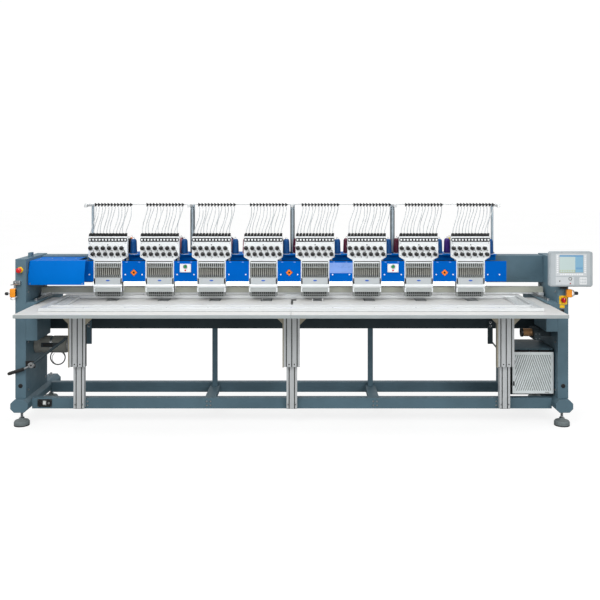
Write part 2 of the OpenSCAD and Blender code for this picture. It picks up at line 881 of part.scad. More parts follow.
// ---- drawing ----

floor_beams();
base_crossbars();
column_left();
column_right();
bed_beam();
bed_arms();
upper_beam();
head_arms();
front_covers();
drive_cover();
thread_tray();
spool_pins();
thread_cones();
rail_frame();
thread_clips();
thread_tubes();
led_strips();
inner_legs();
control_cabinet();
cabinet_door();
drive_motors();
drive_belt();
side_boxes();
operator_boxes();
light_barriers();
pivot_brackets();
x_beam();
border_frame();
table_left();
table_right();
outer_legs();
table_latch();
needle_cases();
colour_change_rod();
tension_knobs();
needle_bars();
take_up_levers();
active_needle_bars();
presser_feet();
active_take_ups();
main_shaft();
motor_pulley();
control_panel();
emergency_stop();
main_switch();
handle_bar();
start_button_left();
start_button_right();
foot_front_left();
foot_front_right();
foot_rear_left();
foot_rear_right();
rotary_hook_1();
rotary_hook_2();
rotary_hook_3();
rotary_hook_4();
rotary_hook_5();
rotary_hook_6();
rotary_hook_7();
rotary_hook_8();
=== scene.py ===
"""Looks of an eight-head embroidery machine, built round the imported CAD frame.

Shapes are worked out in millimetres in the frame's own axes and become metres in mesh_of().
"""

import math
import random

import bmesh
import bpy
import numpy as np
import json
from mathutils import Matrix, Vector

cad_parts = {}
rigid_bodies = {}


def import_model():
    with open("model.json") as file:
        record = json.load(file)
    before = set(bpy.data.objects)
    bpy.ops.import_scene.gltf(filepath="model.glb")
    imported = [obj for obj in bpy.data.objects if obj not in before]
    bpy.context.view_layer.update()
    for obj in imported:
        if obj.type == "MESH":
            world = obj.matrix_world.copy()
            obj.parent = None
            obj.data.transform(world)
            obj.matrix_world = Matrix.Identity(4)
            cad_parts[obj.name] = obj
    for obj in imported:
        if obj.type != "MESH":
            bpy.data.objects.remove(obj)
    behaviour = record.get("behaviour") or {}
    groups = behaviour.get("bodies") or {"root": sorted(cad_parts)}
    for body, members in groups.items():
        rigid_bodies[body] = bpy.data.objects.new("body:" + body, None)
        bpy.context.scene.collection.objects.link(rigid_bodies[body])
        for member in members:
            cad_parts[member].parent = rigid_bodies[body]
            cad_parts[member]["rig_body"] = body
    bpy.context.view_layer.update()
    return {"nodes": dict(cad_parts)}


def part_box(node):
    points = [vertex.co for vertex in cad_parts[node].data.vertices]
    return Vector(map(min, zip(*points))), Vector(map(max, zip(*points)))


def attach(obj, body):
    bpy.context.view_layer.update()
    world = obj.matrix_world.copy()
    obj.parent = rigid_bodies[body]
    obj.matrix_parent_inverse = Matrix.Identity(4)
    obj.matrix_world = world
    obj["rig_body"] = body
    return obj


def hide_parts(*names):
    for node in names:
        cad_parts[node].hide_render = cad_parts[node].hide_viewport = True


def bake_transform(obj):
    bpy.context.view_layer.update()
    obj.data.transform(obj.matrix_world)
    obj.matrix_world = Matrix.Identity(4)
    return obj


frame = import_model()

MM = 0.001
# needle cases: widths from a case's middle, depths from its front, heights from the floor
NEEDLES = 12
NEEDLE_PITCH = 15
NEEDLE_Y = 60
ACTIVE = 7               # index of the needle that works
GUIDE_PITCH = 24.7       # guides, clips and tubes
CASE_BOX_HALF = 150.5    # the tension box at the top
CASE_BOX_DEPTH = 40
CASE_HALF = 110          # the case under it
CASE_DEPTH = 78
CASE_NECK = 1227         # height where the case meets the box
CASE_BOTTOM = 980
WINDOW_HALF = 100
WINDOW = (1088, 1218)
COMB = 941               # the comb's lower edge
COMB_ROWS = ((944, 955), (961, 975))
# the rest of the machine
COVER_Y = 2              # front of the blue covers
COLUMN_Y = -169          # front of the end columns
SHAFT_Z = 1130           # main shaft and main motor
TABLE_TOP = 910
TRAY_RAIL = (216, 268)   # depth of the rail's post feet
CLIP_SHIFT = 20          # clips stand this far right of their head's middle
GROOVE_FLOORS = (-202, -172, -161, -122)    # y of the groove floors in the legs' profiles
rng = random.Random(12)


def box_mm(node):
    low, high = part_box(node)
    return np.array(low) / MM, np.array(high) / MM


def middle_x(node):
    low, high = box_mm(node)
    return (low[0] + high[0]) / 2


ARMS = [middle_x(f"rotary_hook_{i}") for i in range(1, 9)]
case_low, case_high = box_mm("needle_cases")
CASE_SHIFT = case_low[0] + CASE_BOX_HALF - ARMS[0]
CASES = [x + CASE_SHIFT for x in ARMS]
NEEDLE_X = [(i - (NEEDLES - 1) / 2) * NEEDLE_PITCH for i in range(NEEDLES)]
GUIDE_X = [(i - (NEEDLES - 1) / 2) * GUIDE_PITCH for i in range(NEEDLES)]
CASE_TOP = case_high[2] - 12

MX = (ARMS[0] + ARMS[-1]) / 2

# ---------------------------------------------------------------- shapes


class Shape:
    """Points and faces of one solid, or of several, with a finish for each face."""

    def __init__(self, points, faces, finishes):
        self.points = np.array(points, float).reshape(-1, 3)
        self.faces = [tuple(f) for f in faces]
        self.finishes = [finishes] * len(self.faces) if isinstance(finishes, str) else finishes

    def at(self, x=0, y=0, z=0):
        return Shape(self.points + np.array([x, y, z], float), self.faces, self.finishes)


def joined(shapes):
    points, faces, finishes, start = [], [], [], 0
    for s in shapes:
        points.append(s.points)
        faces += [tuple(i + start for i in f) for f in s.faces]
        finishes += s.finishes
        start += len(s.points)
    return Shape(np.concatenate(points), faces, finishes)


def spread(shape, xs):
    return joined([shape.at(x) for x in xs])


def block(low, high, finish, soft=1.0):
    """A box whose twelve edges are taken off by `soft`."""
    low, high = np.array(low, float), np.array(high, float)
    soft = min(soft, 0.45 * float((high - low).min()))
    points, index = [], {}
    for sx in (0, 1):
        for sy in (0, 1):
            for sz in (0, 1):
                side = (sx, sy, sz)
                for axis in range(3):
                    p = [0.0, 0.0, 0.0]
                    for k in range(3):
                        inset = 0 if k == axis else soft
                        p[k] = high[k] - inset if side[k] else low[k] + inset
                    index[side + (axis,)] = len(points)
                    points.append(p)
    faces = []
    for axis in range(3):
        u, v = (axis + 1) % 3, (axis + 2) % 3

        def corner(s, a, b):
            side = [0, 0, 0]
            side[axis], side[u], side[v] = s, a, b
            return tuple(side)

        for s in (0, 1):
            ring = [index[corner(s, a, b) + (axis,)] for a, b in ((0, 0), (1, 0), (1, 1), (0, 1))]
            faces.append(ring if s else ring[::-1])
        for a in (0, 1):
            for b in (0, 1):
                start, stop = corner(0, a, b), corner(1, a, b)
                quad = [index[start + (u,)], index[stop + (u,)], index[stop + (v,)], index[start + (v,)]]
                faces.append(quad if a == b else quad[::-1])
    for side in {k[:3] for k in index}:
        ring = [index[side + (k,)] for k in range(3)]
        faces.append(ring if sum(side) % 2 else ring[::-1])
    return Shape(points, faces, finish)


def inset(outline, d):
    """The outline moved inwards by d; it runs anticlockwise."""
    pts = [np.array(p, float) for p in outline]
    moved = []
    for i, p in enumerate(pts):
        e1, e2 = p - pts[i - 1], pts[(i + 1) % len(pts)] - p
        n1 = np.array([-e1[1], e1[0]]) / max(np.linalg.norm(e1), 1e-9)
        n2 = np.array([-e2[1], e2[0]]) / max(np.linalg.norm(e2), 1e-9)
        m = n1 + n2
        moved.append(p + m * d / max(float(m @ n1), 0.35))
    return moved


def prism(outline, low, high, axis, finish, soft=1.0, cap=None):
    """An outline pushed along an axis, with softened ends.

    Outlines are (x, z) for y, (y, z) for x and (x, y) for z.
    """
    area = sum(a[0] * b[1] - b[0] * a[1] for a, b in zip(outline, list(outline[1:]) + [outline[0]]))
    outline = [np.array(p, float) for p in (outline if area > 0 else outline[::-1])]
    soft = min(soft, 0.45 * (high - low))
    small = inset(outline, soft) if soft > 0 else outline
    rings = [(small, low), (outline, low + soft), (outline, high - soft), (small, high)]
    if soft <= 0:
        rings = [(outline, low), (outline, high)]
    place = "xyz".index(axis)
    points = [np.insert(p, place, h) for ring, h in rings for p in ring]
    n = len(outline)
    faces = [[k * n + i, k * n + (i + 1) % n, (k + 1) * n + (i + 1) % n, (k + 1) * n + i]
             for k in range(len(rings) - 1) for i in range(n)]
    finishes = [finish] * len(faces) + [cap or finish] * 2
    faces += [list(range(n))[::-1], [(len(rings) - 1) * n + i for i in range(n)]]
    return Shape(points, faces, finishes)


def lathe(profile, at, axis, finish, sides=32):
    """A turned shape: profile is (radius, distance along the axis).

    A third value names the finish of the band that follows.
    """
    sign = -1 if axis.startswith("-") else 1
    main = "xyz".index(axis[-1])
    u, v = (main + 1) % 3, (main + 2) % 3
    points, rings = [], []
    for entry in profile:
        r, h = entry[0], entry[1]
        ring = []
        for k in range(1 if r <= 0 else sides):
            a = 2 * math.pi * k / sides
            p = [0.0, 0.0, 0.0]
            p[main] = sign * h
            p[u], p[v] = r * math.cos(a), r * math.sin(a)
            ring.append(len(points))
            points.append(np.array(p) + np.array(at, float))
        rings.append(ring)
    faces, finishes = [], []
    for k in range(len(rings) - 1):
        a, b = rings[k], rings[k + 1]
        tone = profile[k][2] if len(profile[k]) > 2 else finish
        if len(a) == 1 and len(b) == 1:
            continue
        for i in range(sides):
            j = (i + 1) % sides
            if len(a) == 1:
                faces.append((a[0], b[i], b[j]))
            elif len(b) == 1:
                faces.append((a[i], b[0], a[j]))
            else:
                faces.append((a[i], b[i], b[j], a[j]))
            finishes.append(tone)
    return Shape(points, faces, finishes)


def rod(a, b, r, finish, sides=20, soft=0.6):
    """A straight round bar with softened ends."""
    a, b = np.array(a, float), np.array(b, float)
    length = float(np.linalg.norm(b - a))
    soft = min(soft, r * 0.5, length * 0.3)
    s = lathe([(0, 0), (r - soft, 0), (r, soft), (r, length - soft), (r - soft, length), (0, length)],
              (0, 0, 0), "z", finish, sides)
    w = (b - a) / length
    u = np.cross(w, [0, 0, 1] if abs(w[2]) < 0.9 else [1, 0, 0])
    u /= np.linalg.norm(u)
    v = np.cross(w, u)
    return Shape(a + s.points @ np.array([u, v, w]), s.faces, s.finishes)


def tube(path, r, finish, sides=10):
    """A round tube along a list of points, closed at both ends.

    r is a number or one radius for each point.
    """
    path = [np.array(p, float) for p in path]
    radii = [r] * len(path) if np.isscalar(r) else list(r)
    points, normal = [], None
    for i, p in enumerate(path):
        t = path[min(i + 1, len(path) - 1)] - path[max(i - 1, 0)]
        t /= np.linalg.norm(t)
        if normal is None:
            normal = np.cross(t, [0, 1, 0] if abs(t[1]) < 0.9 else [1, 0, 0])
        normal = normal - t * float(normal @ t)
        normal /= np.linalg.norm(normal)
        other = np.cross(t, normal)
        for k in range(sides):
            a = 2 * math.pi * k / sides
            points.append(p + radii[i] * (math.cos(a) * normal + math.sin(a) * other))
    faces = [[k * sides + i, k * sides + (i + 1) % sides, (k + 1) * sides + (i + 1) % sides,
              (k + 1) * sides + i]
             for k in range(len(path) - 1) for i in range(sides)]
    faces += [list(range(sides))[::-1], [(len(path) - 1) * sides + i for i in range(sides)]]
    return Shape(points, faces, finish)


def curve(points, steps=10):
    """A smooth line through the points."""
    pts = [np.array(p, float) for p in points]
    line = []
    for i in range(len(pts) - 1):
        p0, p1, p2, p3 = pts[max(i - 1, 0)], pts[i], pts[i + 1], pts[min(i + 2, len(pts) - 1)]
        for k in range(steps):
            t = k / steps
            line.append(0.5 * (2 * p1 + (p2 - p0) * t + (2 * p0 - 5 * p1 + 4 * p2 - p3) * t * t
                               + (3 * p1 - p0 - 3 * p2 + p3) * t ** 3))
    return line + [pts[-1]]


def rounded(w, h, r, steps=6):
    """A rectangle with round corners, drawn round its middle."""
    outline = []
    for cx, cy, start in ((1, 1, 0), (-1, 1, 90), (-1, -1, 180), (1, -1, 270)):
        for k in range(steps + 1):
            a = math.radians(start + 90 * k / steps)
            outline.append((cx * (w / 2 - r) + r * math.cos(a), cy * (h / 2 - r) + r * math.sin(a)))
    return outline


def ring_of(n, r, start=0):
    """A regular polygon with n corners round its middle."""
    angles = [math.radians(start + 360 * k / n) for k in range(n)]
    return [(r * math.cos(a), r * math.sin(a)) for a in angles]


def moved_outline(outline, dx, dy):
    return [(p[0] + dx, p[1] + dy) for p in outline]


def arc(x, z, r, start, stop, step=10, squash=1.0):
    """Points of an arc as (x, z), by degrees; stop is left out."""
    angles = [math.radians(a) for a in range(start, stop, step)]
    return [(x + r * math.cos(a), z + r * squash * math.sin(a)) for a in angles]


def pad(size, at, low, high, finish, soft):
    """A plate facing the front: size is width, height and corner radius, at its middle as (x, z)."""
    return prism(moved_outline(rounded(*size), *at), low, high, "y", finish, soft)


def screw(x, y, z, r, axis="-y", finish="zinc", height=None):
    """A socket-head screw whose head stands out along the axis."""
    h = height or r * 0.8
    # the bottom of the socket hollow is near-black: painted shade
    return lathe([(0, 0), (r, 0), (r, h * 0.8), (r * 0.85, h), (r * 0.5, h), (r * 0.45, h * 0.35, "shadow"),
                  (0, h * 0.35, "shadow")],
                 (x, y, z), axis, finish, 16)


def hex_head(x, y, z, r, axis, height, finish="zinc"):
    centre = [x, y, z]
    base = centre.pop("xyz".index(axis[-1]))
    low, high = sorted((base, base - height if axis.startswith("-") else base + height))
    return prism(moved_outline(ring_of(6, r, 30), *centre), low, high, axis[-1], finish, 0.6)


# ---------------------------------------------------------------- finishes


def rgb(code, share=1.0, lift=0.0):
    """Linear colour from a hex code, or a share of it with a little white added."""
    values = [int(code[i:i + 2], 16) / 255 for i in (1, 3, 5)]
    linear = [v / 12.92 if v <= 0.04045 else ((v + 0.055) / 1.055) ** 2.4 for v in values]
    return tuple(min(v * share + lift, 1) for v in linear) + (1.0,)


class Graph:
    """A material's node tree, with short ways to add and join nodes."""

    def __init__(self, name):
        self.material = bpy.data.materials.new(name)
        self.material.use_nodes = True
        self.tree = self.material.node_tree
        self.shader = self.tree.nodes["Principled BSDF"]
        self.coords = self.add("ShaderNodeTexCoord").outputs["Object"]

    def add(self, kind, inputs=None, **settings):
        node = self.tree.nodes.new(kind)
        for key, value in settings.items():
            setattr(node, key, value)
        for key, value in (inputs or {}).items():
            self.feed(node.inputs[key], value)
        return node

    def feed(self, socket, value):
        if isinstance(value, bpy.types.NodeSocket):
            self.tree.links.new(value, socket)
        else:
            socket.default_value = value

    def set(self, **values):
        for key, value in values.items():
            self.feed(self.shader.inputs[key.replace("_", " ")], value)

    def place(self, scale, turn=(0, 0, 0)):
        return self.add("ShaderNodeMapping",
                        {"Vector": self.coords, "Scale": scale, "Rotation": turn}).outputs["Vector"]

    def noise(self, scale, detail=4, stretch=None, rough=0.55):
        where = self.place(stretch) if stretch else self.coords
        return self.add("ShaderNodeTexNoise",
                        {"Vector": where, "Scale": scale, "Detail": detail,
                         "Roughness": rough}).outputs["Fac"]

    def ramp(self, value, low, high, to_low=0.0, to_high=1.0):
        return self.add("ShaderNodeMapRange", {"Value": value, "From Min": low, "From Max": high,
                                               "To Min": to_low, "To Max": to_high}).outputs["Result"]

    def mix(self, fac, a, b, blend="MIX"):
        node = self.add("ShaderNodeMix", data_type="RGBA", blend_type=blend)
        self.feed(node.inputs[0], fac)
        self.feed(node.inputs[6], a)
        self.feed(node.inputs[7], b)
        return node.outputs[2]

    def math(self, operation, a, b=0.0):
        node = self.add("ShaderNodeMath", operation=operation)
        self.feed(node.inputs[0], a)
        self.feed(node.inputs[1], b)
        return node.outputs[0]

    def bump(self, height, strength, distance):
        node = self.add("ShaderNodeBump", {"Height": height, "Strength": strength, "Distance": distance})
        self.set(Normal=node.outputs["Normal"])

    def edges(self, radius):
        """1 along convex and concave edges, 0 on flats."""
        bevel = self.add("ShaderNodeBevel", {"Radius": radius}, samples=4).outputs["Normal"]
        flat = self.add("ShaderNodeNewGeometry").outputs["Normal"]
        dot = self.add("ShaderNodeVectorMath", operation="DOT_PRODUCT")
        self.feed(dot.inputs[0], bevel)
        self.feed(dot.inputs[1], flat)
        return self.ramp(dot.outputs["Value"], 0.995, 0.86)

    def upward(self):
        normal = self.add("ShaderNodeNewGeometry").outputs["Normal"]
        return self.ramp(self.add("ShaderNodeSeparateXYZ", {"Vector": normal}).outputs["Z"], 0.6, 0.95)


def recipe(build):
    """Called with its settings, a recipe waits for the material's name."""
    def settle(*settings, **options):
        def finish(name):
            g = Graph(name)
            build(g, *settings, **options)
            return g.material
        return finish
    return settle


@recipe
def paint(g, code, rough=0.4, coat=0.0, worn=None, wear=0.5, peel=0.12, dust=0.12, tone=0.12,
          spec=0.3, flecks=0.04):
    """Sprayed or powder-coated metal: orange peel, mottling, worn edges and a little dust on top."""
    colour = g.mix(g.ramp(g.noise(3.1, 5), 0.35, 0.65), rgb(code, 1 - tone), rgb(code, 1 + tone))
    speck = g.ramp(g.noise(900, 2), 0.35, 0.65)
    colour = g.mix(g.math("MULTIPLY", speck, flecks), colour, rgb("#FFFFFF"))
    if worn:
        mask = g.math("MULTIPLY", g.edges(0.0022), g.ramp(g.noise(46, 6), 0.45, 0.62))
        colour = g.mix(g.math("MULTIPLY", mask, wear), colour, rgb(worn))
    grime = g.math("MULTIPLY", g.upward(), g.ramp(g.noise(14, 6), 0.3, 0.75))
    colour = g.mix(g.math("MULTIPLY", grime, dust), colour, rgb("#A9A79F"))
    g.set(Base_Color=colour, Coat_Weight=coat, Coat_Roughness=0.18, Specular_IOR_Level=spec,
          Roughness=g.ramp(g.noise(22, 6), 0.25, 0.75, rough * 0.86, min(rough * 1.22, 1)))
    g.bump(g.noise(700, 3), peel, 0.0004)


@recipe
def plastic(g, code, rough=0.4, texture=0.2, scale=1500, coat=0.0, dust=0.08, tone=0.08):
    """Moulded plastic with a fine spark-eroded texture and handling marks."""
    colour = g.mix(g.ramp(g.noise(9, 4), 0.35, 0.65), rgb(code, 1 - tone), rgb(code, 1 + tone, 0.004))
    grime = g.math("MULTIPLY", g.upward(), g.ramp(g.noise(30, 6), 0.35, 0.7))
    colour = g.mix(g.math("MULTIPLY", grime, dust), colour, rgb("#B5B3AC"))
    rubbed = g.ramp(g.noise(38, 7), 0.3, 0.7, rough * 0.78, min(rough * 1.2, 1))
    g.set(Base_Color=colour, Roughness=rubbed, Coat_Weight=coat, Coat_Roughness=0.08)
    g.bump(g.noise(scale, 2), texture, 0.0002)


@recipe
def metal(g, code, rough=0.3, along=None, streak=0.25, metallic=1.0, stain=0.1):
    """Bare or anodised metal. along names the axis of its drawing or grinding lines."""
    fine, slow = 1400, 16
    stretch = {"x": (slow, fine, fine), "y": (fine, slow, fine), "z": (fine, fine, slow),
               None: (260, 260, 260)}[along]
    lines = g.noise(1, 3, stretch)
    colour = g.mix(g.ramp(lines, 0.3, 0.7), rgb(code, 1 - streak), rgb(code))
    colour = g.mix(g.math("MULTIPLY", g.ramp(g.noise(11, 5), 0.5, 0.75), stain), colour, rgb("#7C776C"))
    g.set(Base_Color=colour, Metallic=metallic, Roughness=g.ramp(lines, 0.3, 0.7, rough * 0.8, rough * 1.25))
    g.bump(lines, 0.12, 0.0002)


@recipe
def thread(g, code):
    """Thread wound crosswise on a cone."""
    turns = []
    for tilt in (0.32, -0.32):
        where = g.place((1, 1, 1), (tilt, 0, 0))
        turns.append(g.add("ShaderNodeTexWave",
                           {"Vector": where, "Scale": 190, "Distortion": 1.5, "Detail": 2, "Detail Scale": 2},
                           bands_direction="Z", wave_type="BANDS").outputs["Fac"])
    wound = g.math("MAXIMUM", turns[0], turns[1])
    # darker between the turns: painted shade in the grooves of the winding
    colour = g.mix(g.ramp(wound, 0.2, 0.9), rgb(code, 0.35), rgb(code))
    g.set(Base_Color=colour, Roughness=g.ramp(wound, 0, 1, 0.55, 0.3), Sheen_Weight=0.04,
          Specular_IOR_Level=0.3, Anisotropic=0.5)
    g.bump(wound, 0.6, 0.0006)


@recipe
def glow(g, code, strength):
    """A lamp's diffuser, with faint spots where its diodes sit."""
    spots = g.ramp(g.add("ShaderNodeTexWave", {"Vector": g.coords, "Scale": 9},
                         bands_direction="X").outputs["Fac"], 0, 1, 0.86, 1.0)
    g.set(Base_Color=rgb(code), Roughness=g.ramp(g.noise(40), 0.3, 0.7, 0.3, 0.45), Emission_Color=rgb(code),
          Emission_Strength=g.math("MULTIPLY", spots, strength))
    g.bump(g.noise(900), 0.1, 0.0002)


@recipe
def clear_tube(g):
    """Milky polymer tube."""
    colour = g.mix(g.ramp(g.noise(18, 4), 0.35, 0.65), rgb("#BCC2C5"), rgb("#DCE0E2"))
    g.set(Base_Color=colour, Roughness=g.ramp(g.noise(60, 4), 0.3, 0.7, 0.22, 0.4), Subsurface_Weight=0.2,
          Coat_Weight=0.4)
    g.shader.inputs["Subsurface Radius"].default_value = (0.004, 0.004, 0.004)
    g.bump(g.noise(500), 0.1, 0.0002)


@recipe
def screen(g, code, strength=0.12):
    """A lit display face with a faint pixel grid."""
    grid = g.add("ShaderNodeTexWave", {"Vector": g.coords, "Scale": 300}, bands_direction="X").outputs["Fac"]
    colour = g.mix(g.ramp(grid, 0.2, 0.8, 0.0, 0.12), rgb(code), rgb("#FFFFFF"))
    g.set(Base_Color=colour, Emission_Color=colour, Emission_Strength=strength,
          Roughness=g.ramp(g.noise(12), 0.3, 0.7, 0.1, 0.18))
    g.bump(g.noise(400), 0.05, 0.0001)


@recipe
def laminate(g, code):
    """Glossy laminate with a very fine pearl structure and wiping marks."""
    colour = g.mix(g.ramp(g.noise(2.2, 6), 0.35, 0.7), rgb(code, 0.97), rgb(code))
    colour = g.mix(g.math("MULTIPLY", g.ramp(g.noise(60, 8), 0.6, 0.75), 0.02), colour, rgb("#B9B4A8"))
    wiped = g.noise(1, 4, (6, 14, 14))
    g.set(Base_Color=colour, Roughness=g.ramp(wiped, 0.3, 0.7, 0.42, 0.54), Coat_Weight=0.04,
          Coat_Roughness=0.3)
    g.bump(g.noise(1100, 2), 0.06, 0.0002)


# recipes by the name of the finish
FINISHES = {
    "slate": paint("#597380", 0.46, 0.03, worn="#8E9BA1", dust=0.06, spec=0.2, flecks=0.01),
    "slate_dark": paint("#29343A", 0.5, worn="#5C6A71"),
    "near_black": paint("#3A484E", 0.55, worn="#46525A", dust=0.08, spec=0.25, flecks=0.01),
    "cover_blue": paint("#005CB8", 0.42, 0, worn="#2E7FD8", wear=0.2, dust=0.0, tone=0.05,
                        spec=0.02, flecks=0.0),
    # a lighter copy of cover_blue: painted light on the drive cover and the thread tray
    "drive_blue": paint("#0068C0", 0.42, 0, worn="#2E8FE0", wear=0.2, dust=0.0, tone=0.05,
                        spec=0.02, flecks=0.0),
    # dark navy: painted shade on the blue covers' side and back faces
    "edge_blue": paint("#042A5C", 0.5, tone=0.1, spec=0.1, flecks=0.004, dust=0.02),
    "film_blue": plastic("#7C9EE0", 0.3, 0.05, coat=0.5),
    "case_white": paint("#EDF1F3", 0.34, 0.2, worn="#B4B7B5", wear=0.3, peel=0.08, dust=0.04, tone=0.03),
    "case_grey": paint("#B2B7B6", 0.42, 0.1, tone=0.05),
    "case_pale": paint("#B9BFC2", 0.36, 0.15, peel=0.08, tone=0.03, dust=0.03),
    "comb_grey": paint("#8C908F", 0.45, 0.1, tone=0.08),
    "post_grey": metal("#B9C9D3", 0.4, "z", 0.14, 0.4, 0.05),
    "lever_dark": metal("#4A4B49", 0.4, "z", 0.3, 0.6),
    "rib_grey": metal("#C9C9C0", 0.4, "z", 0.2, 0.3),
    "roll_white": plastic("#DDE1E2", 0.14, 0.04, coat=0.8, tone=0.02, dust=0.02),
    # dark grey: the panel's knobs, and painted shade in the gap at the top of the case window
    "pit_grey": paint("#4B4C48", 0.6, tone=0.15),
    "beige": paint("#AEB0A4", 0.3, 0.2, tone=0.06, dust=0.05),
    "alu_x": metal("#E6E9EA", 0.34, "x", 0.12, 0.45, 0.03),
    "alu_y": metal("#E6E9EA", 0.34, "y", 0.12, 0.45, 0.03),
    "alu_z": metal("#E6EAEC", 0.36, "z", 0.14, 0.45, 0.05),
    "alu_warm": metal("#C3BCA8", 0.4, "z", 0.2, 0.5),
    # dark metal: painted shade in the legs' grooves, on the legs' side faces and in the posts' grooves
    "groove": metal("#4A4D4E", 0.5, "z", metallic=0.6),
    "chrome": metal("#E2E4E6", 0.12, "z", 0.08),
    "zinc": metal("#C6C9CB", 0.28, None, 0.15),
    "steel": metal("#AEB1B3", 0.3, "x", 0.2),
    "steel_z": metal("#B9BCBE", 0.26, "z", 0.2),
    "foot_grey": paint("#6E787A", 0.6, peel=0.3, tone=0.12, dust=0.2),
    "cast": paint("#8C8D87", 0.6, peel=0.5, tone=0.2),
    "copper": metal("#D6A678", 0.4, "x", 0.3, 0.5, 0.2),
    "bronze": metal("#A07C52", 0.4, "x", 0.25),
    "black": plastic("#121213", 0.42, 0.35),
    "black_gloss": plastic("#0B0B0D", 0.2, 0.06, coat=0.6),
    "rubber": plastic("#1B1B1B", 0.75, 0.5, 500),
    # near-black: painted shade in hollows and gaps (screw sockets, the case window's back, behind the comb,
    # vent slots), and the black print on the labels
    "shadow": plastic("#060607", 0.8),
    "white_plastic": plastic("#ECEDEC", 0.3, 0.1, tone=0.02, dust=0.02),
    "table_top": laminate("#D0D0CE"),
    "table_edge": plastic("#A6AEAF", 0.4, 0.15, 900, tone=0.03),
    "led": glow("#FFFFFC", 1.6),
    "tube": clear_tube(),
    "panel_silver": plastic("#A8B0B4", 0.36, 0.3, coat=0.15, tone=0.04),
    "panel_light": plastic("#CCD1D4", 0.4, 0.12, tone=0.03),
    "panel_pale": plastic("#B5BCC0", 0.42, 0.12, tone=0.03),
    "key_white": plastic("#F0F2F3", 0.3, 0.1, tone=0.02),
    "sign_yellow": plastic("#F5C400", 0.3, 0.08, coat=0.4),
    "signal_red": plastic("#D81414", 0.22, 0.05, coat=0.6),
    "dark_red": plastic("#9C0F0F", 0.28, 0.05, coat=0.5),
    "signal_green": plastic("#1E8F4E", 0.25, 0.05, coat=0.6),
    "sensor_orange": plastic("#F79A1C", 0.3, 0.1, coat=0.4),
    "label_orange": plastic("#F27A1A", 0.35, 0.05),
    "mark_blue": plastic("#1F5FC4", 0.3, 0.04, coat=0.4),
    "filter_grey": plastic("#E2E9EA", 0.5, 0.3, tone=0.04),
    "filter_deep": plastic("#8E9594", 0.6, 0.3, tone=0.06),
}
THREAD_CODES = {"blue": "#00559C", "navy": "#101A3C", "black": "#17121A", "rose": "#C9868E",
                "wine": "#5E1A34", "purple": "#4A2A86", "yellow": "#E3C23A", "orange": "#E2762A"}
LCD_CODES = {"blue": "#5B93BC", "sky": "#74A6C2", "green": "#B6C8C6", "lime": "#A9B38A"}
FINISHES.update({"thread_" + colour: thread(code) for colour, code in THREAD_CODES.items()})
FINISHES.update({"lcd_" + colour: screen(code) for colour, code in LCD_CODES.items()})
made = {}


def finish_of(name):
    """The material of a finish, made once."""
    if name not in made:
        made[name] = FINISHES[name](name)
    return made[name]


# ---------------------------------------------------------------- pieces


def smooth_edges(mesh, degrees=36):
    mesh.polygons.foreach_set("use_smooth", [True] * len(mesh.polygons))
    mesh.set_sharp_from_angle(angle=math.radians(degrees))


def add_piece(name, mesh, body, nodes):
    obj = bpy.data.objects.new(name, mesh)
    bpy.context.scene.collection.objects.link(obj)
    even = obj.modifiers.new("even_shading", "WEIGHTED_NORMAL")
    even.keep_sharp = True
    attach(obj, body)
    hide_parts(*nodes)
    return obj


def mesh_of(name, shapes, names=None):
    """A mesh from shapes in millimetres, its faces turned outwards.

    names lists the finishes by slot and gains those it lacks.
    """
    whole = joined(shapes)
    names = sorted(set(whole.finishes)) if names is None else names
    names += [f for f in dict.fromkeys(whole.finishes) if f not in names]
    mesh = bpy.data.meshes.new(name)
    mesh.from_pydata((whole.points * MM).tolist(), [], whole.faces)
    for f in names:
        mesh.materials.append(finish_of(f))
    mesh.polygons.foreach_set("material_index", [names.index(f) for f in whole.finishes])
    bm = bmesh.new()
    bm.from_mesh(mesh)
    bmesh.ops.recalc_face_normals(bm, faces=bm.faces)
    bm.to_mesh(mesh)
    bm.free()
    return mesh


def make(name, shapes, body, *nodes):
    """One mesh object from shapes in millimetres, riding on a body and standing for CAD nodes."""
    mesh = mesh_of(name, shapes)
    smooth_edges(mesh)
    return add_piece(name, mesh, body, nodes)


def softened(node, width, finish, rule=None, extra=()):
    """A CAD node's own shape with its long edges rounded, and extra shapes joined to it.

    rule names another finish for a face it is given, or None.
    """
    source = frame["nodes"][node]
    bm = bmesh.new()
    bm.from_mesh(source.data)
    bmesh.ops.remove_doubles(bm, verts=bm.verts, dist=2e-6)
    bmesh.ops.dissolve_limit(bm, angle_limit=math.radians(1), verts=bm.verts, edges=bm.edges)
    w = width * MM
    sharp = [e for e in bm.edges if len(e.link_faces) == 2 and e.calc_length() > 3 * w
             and e.calc_face_angle(0) > math.radians(40)]
    bmesh.ops.bevel(bm, geom=sharp, offset=w, segments=2, profile=0.6, affect="EDGES", clamp_overlap=True)
    names = [finish]
    for f in bm.faces:
        tone = (rule(f) if rule else None) or finish
        if tone not in names:
            names.append(tone)
        f.material_index = names.index(tone)
    mesh = bpy.data.meshes.new(node + "_skin")
    bm.to_mesh(mesh)
    if extra:
        more = mesh_of("extra", extra, names)
        bm.clear()
        bm.from_mesh(mesh)
        bm.from_mesh(more)
        bm.to_mesh(mesh)
        bpy.data.meshes.remove(more)
    bm.free()
    for n in names:
        mesh.materials.append(finish_of(n))
    smooth_edges(mesh)
    return add_piece(node + "_skin", mesh, source["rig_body"], [node])


def recoat(node, finish):
    """A CAD node that stays gets a finish in all its material slots."""
    obj = frame["nodes"][node]
    if not obj.material_slots:
        obj.data.materials.append(finish_of(finish))
    for s in obj.material_slots:
        s.material = finish_of(finish)


